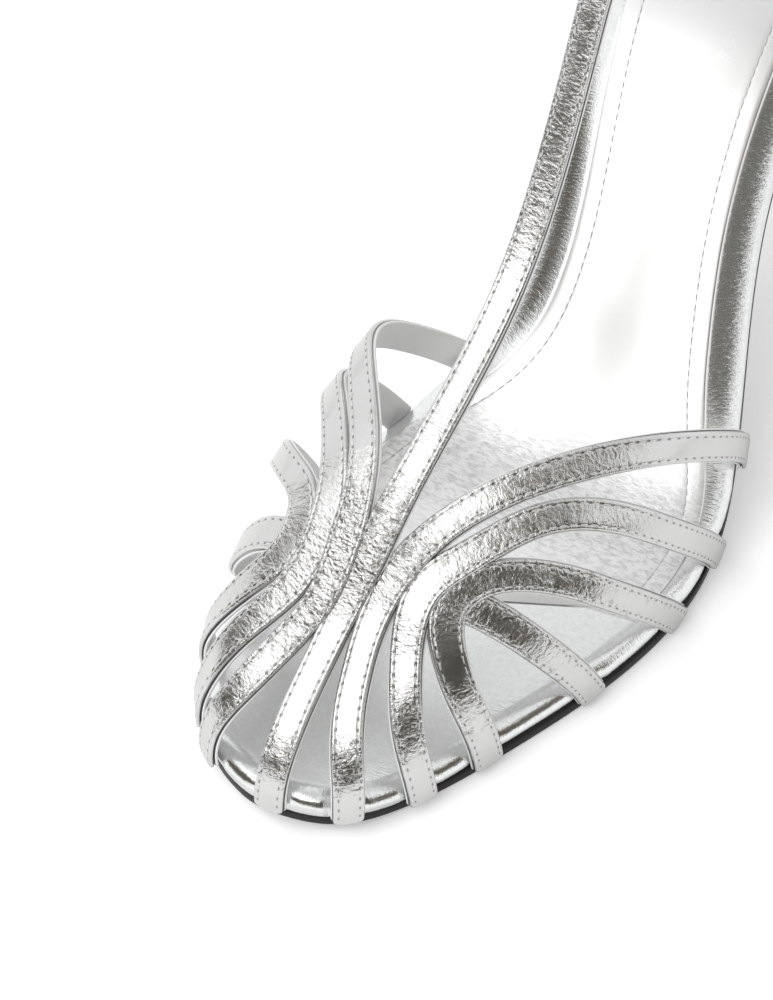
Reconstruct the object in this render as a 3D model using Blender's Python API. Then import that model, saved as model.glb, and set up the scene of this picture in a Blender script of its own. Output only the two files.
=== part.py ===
"""Open T-bar sandal with a high slim heel, for a left foot, in silver leather.

Sizes are in millimetres until a mesh is made. X points to the outer side of the foot, Y from toe to
heel and Z up. The origin is on the floor under the middle of the tread. "From toe" is a distance in
plan from the tip of the sole, and "above" is a height square to the footbed, from the sole's underside.
"""
import math

import bmesh
import bpy
import numpy as np

MM = 0.001
GAP = 0.3

# The sole in plan and in profile
SOLE_LENGTH = 212.5
TREAD_MIDDLE = 50.0
TOE_TIP_ACROSS = -12.0
HEEL_BACK_ACROSS = 0.0
TOE_SPRING = 4.6
TOE_SPRING_RUN = 27.2
ARCH_ANGLE = 45.9
ARCH_START = 69.4
ARCH_FULL = 123.0
SEAT_ANGLE = 22.2
SEAT_START = 140.5
SEAT_FULL = 192.0
SOLE_OUTLINE = (
    # from toe, inner side across, outer side across
    (2.0, -20.1, -1.4),
    (6.0, -26.5, 4.8),
    (12.0, -31.4, 9.9),
    (20.0, -36.0, 14.7),
    (32.0, -39.3, 20.8),
    (48.0, -40.4, 28.7),
    (66.0, -39.5, 35.7),
    (84.0, -35.6, 39.3),
    (102.0, -27.0, 38.5),
    (120.0, -18.4, 32.7),
    (140.0, -19.0, 26.5),
    (160.0, -22.9, 24.7),
    (180.0, -24.6, 24.5),
    (196.0, -22.0, 22.0),
    (206.0, -15.6, 15.6),
)
RIB_COUNT = 46

# Thickness of the layers under the foot
OUTSOLE_THICK = 2.8
INSOLE_THICK = 4.6
SOCK_THICK = 1.0
INSOLE_BOTTOM = OUTSOLE_THICK + GAP
INSOLE_TOP = INSOLE_BOTTOM + INSOLE_THICK
SOCK_BOTTOM = INSOLE_TOP + GAP
PROFILE_LEVEL = 5.0
OUTSOLE_SECTION = (
    # above, inset from the outline
    (0.0, 0.9),
    (0.5, 0.3),
    (OUTSOLE_THICK, 0.3),
)
INSOLE_SECTION = (
    # above, inset from the outline: a board with a rounded edge
    (INSOLE_BOTTOM, 1.5),
    (INSOLE_BOTTOM + 0.7, 0.4),
    (INSOLE_BOTTOM + INSOLE_THICK / 2.0, 0.0),
    (INSOLE_TOP - 0.9, 0.5),
    (INSOLE_TOP, 2.0),
)
SOCK_SECTION = (
    # above, inset from the sock's own cut edge
    (SOCK_BOTTOM, 0.0),
    (SOCK_BOTTOM + SOCK_THICK, 0.4),
)

# The sock lining's slanted front edge, and its distance from the outline before and behind the waist
SOCK_FRONT_OUTER = 71.0
SOCK_FRONT_INNER = 50.0
SOCK_INSET_FRONT = 3.2
SOCK_INSET_BACK = 6.4
SOCK_INSET_START = 98.0
SOCK_INSET_FULL = 132.0

# The form of the foot that the straps lie on: its ridge, and how far its sides bulge over the sole
FORM_RIDGE = (
    # from toe, across, height over the floor
    (22.0, -12.1, 21.1),
    (42.0, -10.2, 36.8),
    (66.0, -7.3, 51.6),
    (90.0, -5.4, 64.7),
    (115.0, -3.8, 98.9),
)
RIDGE_LEAD = 22.0
RIDGE_LEAD_RUN = 70.0
SIDE_LIFT = 0.67
TOP_FLATNESS = 0.69
INNER_BULGE = 5.9
OUTER_BULGE = 3.0
BULGE_RUN = 60.0

# The straps: folded leather, a little wider where they are sewn together side by side
STRAP_WIDTH = 6.0
STRAP_THICK = 1.8
STRAP_STEP = 3.0
STRAP_END_ABOVE = 2.6
STACK_CLIMB = 0.5
CLIMB_LENGTH = 60.0
STRAP_SECTION = (
    # part of the width, part of the thickness
    (-0.5, -0.5),
    (0.5, -0.5),
    (0.5, 0.1),
    (0.41, 0.5),
    (-0.41, 0.5),
    (-0.5, 0.1),
)
BAR_STACK = 0.9
STRAP_ROUTES = {
    # each row: around and climb of the outer strap, around and climb of the inner strap.
    # Around is a distance along the sole's edge from the toe tip, climb goes from edge 0 to ridge 1.
    "first": (
        (16.5, 0.0, 15.5, 0.0),
        (17.5, 0.39, 17.0, 0.38),
        (23.5, 0.75, 21.8, 0.71),
        (37.0, 0.875, 36.5, 0.90),
        (55.0, 0.905, 52.0, 0.91),
        (68.5, 0.866, 65.0, 0.87),
        (86.0, 0.735, 82.0, 0.705),
        (104.5, 0.50, 98.0, 0.44),
        (120.5, 0.21, 113.5, 0.16),
        (132.5, 0.0, 125.0, 0.0),
    ),
    "second": (
        (32.0, 0.0, 26.5, 0.0),
        (31.5, 0.27, 27.3, 0.27),
        (35.0, 0.57, 31.5, 0.53),
        (44.0, 0.745, 42.0, 0.78),
        (56.0, 0.807, 53.0, 0.812),
        (65.5, 0.763, 64.0, 0.77),
        (81.0, 0.65, 79.0, 0.615),
        (97.0, 0.33, 92.0, 0.38),
        (113.5, 0.0, 109.0, 0.0),
    ),
    "third": (
        (47.5, 0.0, 41.5, 0.0),
        (46.0, 0.30, 40.4, 0.31),
        (47.5, 0.535, 43.8, 0.55),
        (55.0, 0.70, 50.0, 0.693),
        (61.0, 0.70, 59.5, 0.68),
        (70.5, 0.583, 66.8, 0.55),
        (82.0, 0.30, 73.6, 0.37),
        (98.0, 0.0, 87.0, 0.0),
    ),
    "fourth": (
        (58.0, 0.70, 52.5, 0.70),
        (61.5, 0.485, 55.0, 0.50),
        (65.5, 0.28, 56.8, 0.23),
        (73.5, 0.0, 63.8, 0.0),
    ),
}
JOINT_AROUND = 55.0
JOINT_STATION = 42.0
JOINT_REACH = 10.0
JOINT_OVERLAP = 0.9
STACK = {"first": 0.3, "second": -0.3, "third": -0.9, "fourth": -1.7}
BAR_TOE_AROUND = 1.7
BAR_TOE_CLIMBS = (0.0, 0.2, 0.42, 0.66)
BAR_RIDGE_START = 32.0

# Ankle strap, an oval round the ankle, and the loop of the bar that it runs through
ANKLE_MIDDLE = 172.0
ANKLE_HALF_LENGTH = 37.0
ANKLE_HALF_WIDTH = 29.0
ANKLE_HEIGHT = 147.0
ANKLE_THICK = 1.6
ANKLE_OVERLAP = 30.0
ANKLE_STEP = 3.4
BAR_LOOP_ACROSS = -1.0
BAR_LOOP_CLEAR = 0.8
BAR_LOOP_DROP = 3.6
BAR_BEND = (126.5, -2.8, 124.0)
BAR_FOLD_POINTS = 8
BAR_FLAT_STEPS = 4

# Buckle on the outer side of the ankle
BUCKLE_ANGLE = 100.0
BUCKLE_LENGTH = 9.0
BUCKLE_WIRE = 0.8
BUCKLE_CORNER = 1.8
BUCKLE_CORNER_POINTS = 4
BUCKLE_RAISE = 2.4
BUCKLE_RAISE_MARGIN = 1.0
BUCKLE_SIDE_CLEAR = 0.5
BUCKLE_BAR_CLEAR = 1.0
PRONG_WIRE = 0.55
WIRE_SIDES = 8
PRONG_ROUTE = (
    # distance towards the front from the rear bar, distance out of the strap's middle line
    (1.8, -0.2),
    (3.2, 0.5),
    (5.0, 2.1),
    (7.2, 4.0),
    (8.8, 4.3),
    (10.4, 4.1),
)
SLOT_MIDDLE = 4.6
SLOT_OUT = 1.4
SLOT_LENGTH = 5.0
SLOT_HEIGHT = 2.0
SLOT_DEPTH = 8.0

# Heel counter, from the sole's edge up to the ankle strap
COUNTER_FRONT = 172.0
COUNTER_FRONT_HEIGHT = 10.0
COUNTER_BACK_HEIGHT = 62.0
COUNTER_BULGE = 2.5
COUNTER_SPREAD = 75.0
COUNTER_EASE = 0.85
COUNTER_COLUMNS = 26
COUNTER_ROWS = 7

# Heel, in levels from its tip to the seat
TOP_LIFT_THICK = 4.3
HEEL_LEVELS = (
    # height at the middle, back and breast from toe, half width, slope of the level
    (4.6, 198.6, 189.4, 4.5, 0.0),
    (18.0, 199.8, 189.7, 5.0, 0.0),
    (36.0, 202.2, 189.0, 6.6, 0.06),
    (52.0, 205.4, 186.4, 10.0, 0.15),
    (64.0, 208.4, 180.6, 15.6, 0.27),
    (72.5, 210.6, 173.6, 20.6, 0.38),
    (78.5, 211.6, 168.6, 23.4, 0.42),
)
HEEL_STEPS = 11
HEEL_WIDEST = 0.42
HEEL_REAR_POINTS = 13
HEEL_BREAST_POINTS = 9
BREAST_SQUARENESS = 0.62
BREAST_GAP = 0.5


def smooth(value):
    """Ease from 0 to 1 with flat ends."""
    value = np.clip(value, 0.0, 1.0)
    return value * value * (3.0 - 2.0 * value)


def unit(vectors):
    return vectors / np.linalg.norm(vectors, axis=-1, keepdims=True)


def spline(knots, values, period=None):
    """Return the cubic curve through values at knots, closed when it has a period."""
    at = np.array(knots, float)
    height = np.array(values, float)
    if period:
        at = np.append(at, at[0] + period)
        height = np.append(height, height[0])
    count = len(at)
    step = np.diff(at)
    slope = np.diff(height) / step
    system = np.zeros((count, count))
    target = np.zeros(count)
    for i in range(1, count - 1):
        system[i, i - 1:i + 2] = (step[i - 1], 2.0 * (step[i - 1] + step[i]), step[i])
        target[i] = 6.0 * (slope[i] - slope[i - 1])
    if period:
        system[0, 0], system[0, -1] = 1.0, -1.0
        system[-1, [0, 1, -2, -1]] = (2.0 * step[0], step[0], step[-1], 2.0 * step[-1])
        target[-1] = 6.0 * (slope[0] - slope[-1])
    else:
        system[0, 0] = system[-1, -1] = 1.0
    bend = np.linalg.solve(system, target)

    def curve(where):
        where = np.asarray(where, float)
        if period:
            where = at[0] + np.mod(where - at[0], period)
        i = np.clip(np.searchsorted(at, where, side="right") - 1, 0, count - 2)
        before = (at[i + 1] - where) / step[i]
        after = 1.0 - before
        sag = (before ** 3 - before) * bend[i] + (after ** 3 - after) * bend[i + 1]
        return before * height[i] + after * height[i + 1] + sag * step[i] ** 2 / 6.0

    return curve


def curve_through(points, spacing, weights=None):
    """Sample a smooth curve through points at about the given spacing."""
    points = np.array(points, float)
    scale = np.ones(points.shape[1]) if weights is None else np.array(weights)
    lengths = np.linalg.norm(np.diff(points * scale, axis=0), axis=1)
    knots = np.concatenate(([0.0], np.cumsum(lengths)))
    samples = np.linspace(0.0, knots[-1], int(round(knots[-1] / spacing)) + 1)
    return np.stack([spline(knots, column)(samples) for column in points.T], axis=-1)


# The sole's edge in plan is one closed curve. Its angle is 0 at the toe tip, half a turn at the heel's
# back, and grows along the outer side first.
def edge_angle(from_toe):
    return np.arccos(1.0 - 2.0 * np.asarray(from_toe) / SOLE_LENGTH)


def outline_curve():
    outer = [(edge_angle(station), across) for station, _, across in SOLE_OUTLINE]
    inner = [(2.0 * math.pi - edge_angle(station), across) for station, across, _ in SOLE_OUTLINE]
    knots = [(0.0, TOE_TIP_ACROSS), *outer, (math.pi, HEEL_BACK_ACROSS), *reversed(inner)]
    return spline(*zip(*knots), period=2.0 * math.pi)


edge_across = outline_curve()


def edge(angle):
    return np.stack((edge_across(angle), SOLE_LENGTH * (1.0 - np.cos(angle)) / 2.0), axis=-1)


def edge_outward(angle):
    nudge = 1e-4
    along = edge(angle + nudge) - edge(angle - nudge)
    return unit(np.stack((along[..., 1], -along[..., 0]), axis=-1))


EDGE_ANGLES = np.linspace(-math.pi, math.pi, 2001)
EDGE_STEPS = np.linalg.norm(np.diff(edge(EDGE_ANGLES), axis=0), axis=1)
EDGE_LENGTHS = np.concatenate(([0.0], np.cumsum(EDGE_STEPS)))
EDGE_AROUND = EDGE_LENGTHS - np.interp(0.0, EDGE_ANGLES, EDGE_LENGTHS)


# The sole's profile: flat tread, arch and heel seat, with the toe sprung up
def tilt(from_toe):
    arch = ARCH_ANGLE * smooth((from_toe - ARCH_START) / (ARCH_FULL - ARCH_START))
    ease = (ARCH_ANGLE - SEAT_ANGLE) * smooth((from_toe - SEAT_START) / (SEAT_FULL - SEAT_START))
    return np.radians(arch - ease)


PROFILE_STATIONS = np.linspace(0.0, SOLE_LENGTH, 1001)
PROFILE_SLOPES = np.tan(tilt(PROFILE_STATIONS))
PROFILE_RISES = (PROFILE_SLOPES[1:] + PROFILE_SLOPES[:-1]) / 2.0 * np.diff(PROFILE_STATIONS)
PROFILE_HEIGHTS = np.concatenate(([0.0], np.cumsum(PROFILE_RISES)))


def underside(from_toe):
    spring = TOE_SPRING * np.clip(1.0 - from_toe / TOE_SPRING_RUN, 0.0, None) ** 2
    return np.interp(from_toe, PROFILE_STATIONS, PROFILE_HEIGHTS) + spring


def sole_point(across, from_toe, above):
    lean = tilt(from_toe)
    over = above - PROFILE_LEVEL
    along = from_toe - over * np.sin(lean) - TREAD_MIDDLE
    height = underside(from_toe) + PROFILE_LEVEL + over * np.cos(lean)
    return np.stack((across, along, height), axis=-1)


def edge_point(angle, outward, above):
    plan = edge(angle) + outward * edge_outward(angle)
    return sole_point(plan[..., 0], plan[..., 1], above)


# The form of the foot: curves that rise from the sole's edge and run flat into the ridge
RIDGE_ACROSS, RIDGE_HEIGHT = (
    spline([row[0] for row in FORM_RIDGE], [row[column] for row in FORM_RIDGE]) for column in (1, 2)
)


def ridge_point(from_toe):
    from_toe = np.asarray(from_toe, float)
    return np.stack((RIDGE_ACROSS(from_toe), from_toe - TREAD_MIDDLE, RIDGE_HEIGHT(from_toe)), axis=-1)


def form_point(around, climb):
    angle = np.interp(around, EDGE_AROUND, EDGE_ANGLES)
    foot = edge_point(angle, GAP + STRAP_THICK / 2.0, STRAP_END_ABOVE)
    station = edge(angle)[..., 1]
    ahead = np.clip(1.0 - station / RIDGE_LEAD_RUN, 0.0, 1.0)
    ridge = ridge_point(station + RIDGE_LEAD * ahead ** 2)
    bulge = np.where(around > 0.0, OUTER_BULGE, INNER_BULGE) * np.clip(station / BULGE_RUN, 0.0, 1.0)
    side = foot.copy()
    side[..., :2] += edge_outward(angle) * bulge[..., None]
    side[..., 2] += SIDE_LIFT * (ridge - foot)[..., 2]
    top = ridge.copy()
    top[..., :2] += TOP_FLATNESS * (foot - ridge)[..., :2]
    share = np.asarray(climb)[..., None]
    rest = 1.0 - share
    low = rest ** 3 * foot + 3.0 * rest ** 2 * share * side
    return low + 3.0 * rest * share ** 2 * top + share ** 3 * ridge


def form_outward(around, climb):
    nudge_around, nudge_climb = 0.2, 0.004
    along = form_point(around + nudge_around, climb) - form_point(around - nudge_around, climb)
    upward = form_point(around, climb + nudge_climb) - form_point(around, climb - nudge_climb)
    return unit(np.cross(along, upward))


def finish(name, colour, roughness, metallic):
    material = bpy.data.materials.new(name)
    material.use_nodes = True
    shader = material.node_tree.nodes["Principled BSDF"]
    shader.inputs["Base Color"].default_value = (*colour, 1.0)
    shader.inputs["Roughness"].default_value = roughness
    shader.inputs["Metallic"].default_value = metallic
    return material


def add_piece(name, points, faces, material, smooth_angle=40.0):
    """Make one object from points in millimetres and faces of point numbers."""
    shape = bmesh.new()
    corners = [shape.verts.new(np.asarray(point) * MM) for point in points]
    for face in faces:
        ring = list(dict.fromkeys(face))
        if len(ring) > 2:
            shape.faces.new([corners[i] for i in ring])
    bmesh.ops.recalc_face_normals(shape, faces=shape.faces)
    bmesh.ops.triangulate(shape, faces=shape.faces)
    mesh = bpy.data.meshes.new(name)
    shape.to_mesh(mesh)
    shape.free()
    mesh.shade_smooth()
    mesh.set_sharp_from_angle(angle=math.radians(smooth_angle))
    mesh.materials.append(material)
    piece = bpy.data.objects.new(name, mesh)
    bpy.context.scene.collection.objects.link(piece)
    return piece


def loft(rings, closed=False):
    """Number the points of equal rings and return them with the quads between and the two end faces."""
    count = len(rings[0])
    faces = []
    for level in range(len(rings) - 1):
        low, high = level * count, (level + 1) * count
        for i in range(count):
            j = (i + 1) % count
            faces.append((low + i, low + j, high + j, high + i))
    last = (len(rings) - 1) * count
    if closed:
        faces += [(last + i, last + (i + 1) % count, (i + 1) % count, i) for i in range(count)]
    else:
        faces += [tuple(range(count)), tuple(range(last, last + count))]
    return np.concatenate(rings), faces


def layer(name, outer_start, inner_start, end, section, material, inset_at=np.zeros_like):
    """Make a layer under the foot from rows of (above, inset), with straight cuts or round tips at its ends.

    inset_at gives what is added to every inset at a distance from the toe.
    """
    outer_turns = np.linspace(edge_angle(outer_start), edge_angle(end), RIB_COUNT + 1)
    inner_turns = 2.0 * math.pi - np.linspace(edge_angle(inner_start), edge_angle(end), RIB_COUNT + 1)
    is_tip = outer_start == inner_start == 0.0
    points = []
    outer_rows, inner_rows = [], []
    for above, inset in section:
        outer_inset = inset + inset_at(edge(outer_turns)[:, 1])
        inner_inset = inset + inset_at(edge(inner_turns)[:, 1])
        outer_rows.append(range(len(points), len(points) + RIB_COUNT + 1))
        points.extend(edge_point(outer_turns, -outer_inset[:, None], above))
        inner = list(range(len(points), len(points) + RIB_COUNT + 1))
        points.extend(edge_point(inner_turns, -inner_inset[:, None], above))
        if is_tip:
            inner[0] = outer_rows[-1][0]
        if end == SOLE_LENGTH:
            inner[-1] = outer_rows[-1][-1]
        inner_rows.append(inner)
    faces = []
    for i in range(RIB_COUNT):
        for side in (outer_rows, inner_rows):
            for low, high in zip(side, side[1:]):
                faces.append((low[i], low[i + 1], high[i + 1], high[i]))
        for outer, inner in ((outer_rows[0], inner_rows[0]), (outer_rows[-1], inner_rows[-1])):
            faces.append((outer[i], outer[i + 1], inner[i + 1], inner[i]))
    for i, is_cut in ((0, not is_tip), (RIB_COUNT, end < SOLE_LENGTH)):
        if is_cut:
            rim = [row[i] for row in outer_rows] + [row[i] for row in reversed(inner_rows)]
            faces.append(tuple(rim))
    piece = add_piece(name, points, faces, material)
    remove_loose(piece)
    return piece


def remove_loose(piece):
    shape = bmesh.new()
    shape.from_mesh(piece.data)
    loose = [corner for corner in shape.verts if not corner.link_faces]
    bmesh.ops.delete(shape, geom=loose, context="VERTS")
    shape.to_mesh(piece.data)
    shape.free()


def ribbon(name, path, outward, widths, thick, material):
    """Sweep the section of a folded strap along a path, with its face turned outward."""
    along = unit(np.gradient(path, axis=0))
    across = unit(np.cross(along, outward))
    outward = np.cross(across, along)
    rings = [
        [point + side * wide * width + out * deep * thick for wide, deep in STRAP_SECTION]
        for point, side, out, width in zip(path, across, outward, widths)
    ]
    return add_piece(name, *loft(rings), material)


def wire(name, path, radius, material, closed=False):
    """Sweep a round section along a path of points."""
    path = np.array(path)
    if closed:
        along = unit(np.roll(path, -1, axis=0) - np.roll(path, 1, axis=0))
    else:
        along = unit(np.gradient(path, axis=0))
    plane = unit(np.cross(path[1] - path[0], path[-1] - path[0]))
    across = unit(np.cross(along, plane))
    turns = np.arange(WIRE_SIDES) * 2.0 * math.pi / WIRE_SIDES
    rings = [
        [point + radius * (math.cos(turn) * side + math.sin(turn) * plane) for turn in turns]
        for point, side in zip(path, across)
    ]
    return add_piece(name, *loft(rings, closed), material)


def keep_as_tool(piece):
    piece.hide_render = True
    piece.display_type = "WIRE"


def add_boolean(piece, tool, operation):
    keep_as_tool(tool)
    modifier = piece.modifiers.new(tool.name, "BOOLEAN")
    modifier.operation = operation
    modifier.solver = "EXACT"
    modifier.object = tool


# The ankle strap's oval in plan, walked from the buckle round the back and the inner side to the front
def ankle_plan(turn, outward):
    radius = np.array((ANKLE_HALF_WIDTH, ANKLE_HALF_LENGTH))
    swing = np.stack((np.sin(turn), np.cos(turn)), axis=-1)
    out = unit(swing / radius)
    middle = np.array((0.0, ANKLE_MIDDLE - TREAD_MIDDLE))
    return middle + swing * radius + out * np.asarray(outward)[..., None], out


ANKLE_TURNS = math.radians(BUCKLE_ANGLE) - np.linspace(0.0, 4.0 * math.pi, 4001)
ANKLE_STEPS = np.linalg.norm(np.diff(ankle_plan(ANKLE_TURNS, np.zeros(4001))[0], axis=0), axis=1)
ANKLE_LENGTHS = np.concatenate(([0.0], np.cumsum(ANKLE_STEPS)))
ANKLE_LENGTH = ANKLE_LENGTHS[-1] / 2.0


def ankle_point(walked, outward, over=0.0):
    """Return a point on the oval and the way out of it."""
    turn = np.interp(walked, ANKLE_LENGTHS, ANKLE_TURNS)
    plan, out = ankle_plan(turn, np.asarray(outward, float))
    level = np.full(plan.shape[:-1] + (1,), ANKLE_HEIGHT + over)
    return np.concatenate((plan, level), axis=-1), np.concatenate((out, 0.0 * level), axis=-1)


def sock_inset(from_toe):
    waist = smooth((from_toe - SOCK_INSET_START) / (SOCK_INSET_FULL - SOCK_INSET_START))
    return SOCK_INSET_FRONT + (SOCK_INSET_BACK - SOCK_INSET_FRONT) * waist


def make_soles(silver, black, lining):
    heel_breast = HEEL_LEVELS[-1][2]
    layer("outsole", 0.0, 0.0, heel_breast - BREAST_GAP, OUTSOLE_SECTION, black)
    layer("insole", 0.0, 0.0, SOLE_LENGTH, INSOLE_SECTION, silver)
    layer("sock_lining", SOCK_FRONT_OUTER, SOCK_FRONT_INNER, SOLE_LENGTH, SOCK_SECTION, lining, sock_inset)


def joint_width(distance):
    return STRAP_WIDTH + JOINT_OVERLAP * np.exp(-(distance / JOINT_REACH) ** 2)


def bar_path():
    """Return the T-bar's middle line from the toe over the ridge to its loop, its outward side and widths."""
    toe = [form_point(np.array(BAR_TOE_AROUND), np.array(climb)) for climb in BAR_TOE_CLIMBS]
    ridge = [ridge_point(station) for station in (BAR_RIDGE_START, *(row[0] for row in FORM_RIDGE[1:]))]
    bend_along, bend_across, bend_height = BAR_BEND
    bend = (bend_across, bend_along - TREAD_MIDDLE, bend_height)
    radius = ANKLE_THICK / 2.0 + BAR_LOOP_CLEAR + STRAP_THICK / 2.0
    front = ANKLE_MIDDLE - ANKLE_HALF_LENGTH - TREAD_MIDDLE
    top = ANKLE_HEIGHT + STRAP_WIDTH / 2.0 + BAR_LOOP_CLEAR
    foot_of_loop = (BAR_LOOP_ACROSS, front - radius, ANKLE_HEIGHT - BAR_LOOP_DROP)
    rise = curve_through([*toe, *ridge, bend, foot_of_loop], STRAP_STEP)
    fold = [
        (BAR_LOOP_ACROSS, front - radius * math.cos(turn), top + radius * math.sin(turn))
        for turn in np.linspace(0.0, math.pi, BAR_FOLD_POINTS)
    ]
    inner_end = (BAR_LOOP_ACROSS, front + radius, ANKLE_HEIGHT - BAR_LOOP_DROP)
    path = np.concatenate((rise, fold, [inner_end]))
    along = unit(np.gradient(path, axis=0))
    outward = np.cross(np.array((1.0, 0.0, 0.0)), along)
    stacked = smooth(np.arange(len(path)) * STRAP_STEP / RIDGE_LEAD)
    stacked[len(rise) - BAR_FLAT_STEPS:] = 0.0
    widths = joint_width(path[:, 1] + TREAD_MIDDLE - JOINT_STATION)
    return path + unit(outward) * (BAR_STACK * stacked)[:, None], outward, widths


def strap_path(pair, outer):
    """Return the middle line of one side strap on the form, its outward side and widths."""
    columns = (0, 1) if outer else (2, 3)
    knots = [[row[column] for column in columns] for row in STRAP_ROUTES[pair]]
    route = curve_through(knots, STRAP_STEP, (1.0, CLIMB_LENGTH))
    around = route[:, 0] if outer else -route[:, 0]
    climb = np.clip(route[:, 1], 0.0, 1.0)
    outward = form_outward(around, climb)
    stacked = STACK[pair] * np.clip(climb / STACK_CLIMB, 0.0, 1.0)
    widths = joint_width(np.abs(around) - JOINT_AROUND)
    return form_point(around, climb) + outward * stacked[:, None], outward, widths


def make_upper(silver):
    upper = ribbon("upper", *bar_path(), STRAP_THICK, silver)
    for pair in STRAP_ROUTES:
        for side, outer in (("outer", True), ("inner", False)):
            strap = ribbon(f"{pair}_{side}_strap", *strap_path(pair, outer), STRAP_THICK, silver)
            add_boolean(upper, strap, "UNION")


def make_counter(silver):
    turns = np.linspace(-1.0, 1.0, COUNTER_COLUMNS)
    front_angle = edge_angle(COUNTER_FRONT)
    angles = math.pi - turns * (math.pi - front_angle)
    foot = edge_point(angles, GAP + STRAP_THICK / 2.0, INSOLE_BOTTOM)
    bulge_way = edge_outward(angles)
    inside = -(ANKLE_THICK / 2.0 + 2.0 * GAP + STRAP_THICK / 2.0)
    ankle, _ = ankle_plan(np.radians(turns * COUNTER_SPREAD), np.full(COUNTER_COLUMNS, inside))
    spread = smooth((1.0 - np.abs(turns)) / COUNTER_EASE)
    heights = COUNTER_FRONT_HEIGHT + (COUNTER_BACK_HEIGHT - COUNTER_FRONT_HEIGHT) * spread
    points = []
    for row in np.linspace(0.0, 1.0, COUNTER_ROWS):
        share = row * heights / (ANKLE_HEIGHT - STRAP_WIDTH - foot[:, 2])
        plan = foot[:, :2] + (ankle - foot[:, :2]) * smooth(share)[:, None]
        plan += bulge_way * (COUNTER_BULGE * np.sin(math.pi * np.clip(share, 0.0, 1.0)))[:, None]
        points.extend(np.column_stack((plan, foot[:, 2] + row * heights)))
    faces = []
    for row in range(COUNTER_ROWS - 1):
        low, high = row * COUNTER_COLUMNS, (row + 1) * COUNTER_COLUMNS
        for i in range(COUNTER_COLUMNS - 1):
            faces.append((low + i, low + i + 1, high + i + 1, high + i))
    counter = add_piece("heel_counter", points, faces, silver)
    wall = counter.modifiers.new("wall", "SOLIDIFY")
    wall.thickness = STRAP_THICK * MM
    wall.offset = 0.0
    wall.use_even_offset = True


def make_ankle_strap(silver):
    start = BUCKLE_WIRE + BUCKLE_BAR_CLEAR
    walked = np.linspace(start, ANKLE_LENGTH + ANKLE_OVERLAP, int(ANKLE_LENGTH / ANKLE_STEP))
    raise_start = ANKLE_LENGTH - BUCKLE_LENGTH + BUCKLE_RAISE_MARGIN
    raise_run = BUCKLE_LENGTH - 2.0 * BUCKLE_RAISE_MARGIN
    raised = BUCKLE_RAISE * smooth((walked - raise_start) / raise_run)
    path, outward = ankle_point(walked, raised)
    strap = ribbon("ankle_strap", path, outward, np.full(len(path), STRAP_WIDTH), ANKLE_THICK, silver)
    middle, out = ankle_point(ANKLE_LENGTH - SLOT_MIDDLE, SLOT_OUT)
    along = np.array((-out[1], out[0], 0.0))
    corners = [
        middle + along * a * SLOT_LENGTH / 2.0 + out * b * SLOT_DEPTH / 2.0
        + np.array((0.0, 0.0, c * SLOT_HEIGHT / 2.0))
        for c in (-1, 1) for a, b in ((-1, -1), (1, -1), (1, 1), (-1, 1))
    ]
    slot = add_piece("prong_slot", *loft([corners[:4], corners[4:]]), silver)
    add_boolean(strap, slot, "DIFFERENCE")


def make_buckle(metal):
    rear, _ = ankle_point(ANKLE_LENGTH, 0.0)
    front, _ = ankle_point(ANKLE_LENGTH - BUCKLE_LENGTH, BUCKLE_RAISE)
    length = np.linalg.norm(front - rear)
    forward = (front - rear) / length
    upward = np.array((0.0, 0.0, 1.0))
    half_height = STRAP_WIDTH / 2.0 + BUCKLE_SIDE_CLEAR + BUCKLE_WIRE
    path = []
    for corner, (a, b) in enumerate(((1, 1), (0, 1), (0, -1), (1, -1))):
        inward = 1 if a == 0 else -1
        hub = rear + forward * (a * length + inward * BUCKLE_CORNER)
        hub = hub + upward * b * (half_height - BUCKLE_CORNER)
        turns = np.linspace(corner, corner + 1, BUCKLE_CORNER_POINTS) * math.pi / 2.0
        for turn in turns:
            path.append(hub + BUCKLE_CORNER * (math.cos(turn) * forward + math.sin(turn) * upward))
    wire("buckle_frame", path, BUCKLE_WIRE, metal, closed=True)
    prong = [ankle_point(ANKLE_LENGTH - ahead, out)[0] for ahead, out in PRONG_ROUTE]
    wire("buckle_prong", prong, PRONG_WIRE, metal)


def heel_ring(back, breast, half_width):
    """Return one level of the heel in plan: half an ellipse behind, a squarer front."""
    widest = breast + HEEL_WIDEST * (back - breast)
    rear = np.linspace(-math.pi / 2.0, math.pi / 2.0, HEEL_REAR_POINTS)
    front = np.linspace(0.0, math.pi, HEEL_BREAST_POINTS + 2)[1:-1]
    across = [half_width * math.sin(turn) for turn in rear]
    along = [widest + (back - widest) * math.cos(turn) for turn in rear]
    for turn in front:
        side = math.copysign(abs(math.cos(turn)) ** BREAST_SQUARENESS, math.cos(turn))
        across.append(half_width * side)
        along.append(widest - (widest - breast) * math.sin(turn) ** BREAST_SQUARENESS)
    return np.array(across), np.array(along)


def make_heel(silver, black):
    heights = [row[0] for row in HEEL_LEVELS]
    columns = [spline(heights, [row[i] for row in HEEL_LEVELS]) for i in range(1, 5)]
    rings = []
    for height in np.linspace(heights[0], heights[-1], HEEL_STEPS):
        back, breast, half_width, slope = (float(column(height)) for column in columns)
        across, along = heel_ring(back, breast, half_width)
        rise = height + slope * (along - (back + breast) / 2.0)
        if height == heights[-1]:
            rings.append(sole_point(across, along, INSOLE_BOTTOM - GAP))
        else:
            rings.append(np.column_stack((across, along - TREAD_MIDDLE, rise)))
    points, faces = loft(rings)
    faces = faces[:-2] + heel_caps(len(rings) - 1, len(rings[0]))
    add_piece("heel", points, faces, silver)
    across, along = heel_ring(*HEEL_LEVELS[0][1:4])
    lift = [np.column_stack((across, along - TREAD_MIDDLE, 0.0 * across + z)) for z in (0.0, TOP_LIFT_THICK)]
    add_piece("top_lift", *loft(lift), black)


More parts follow.
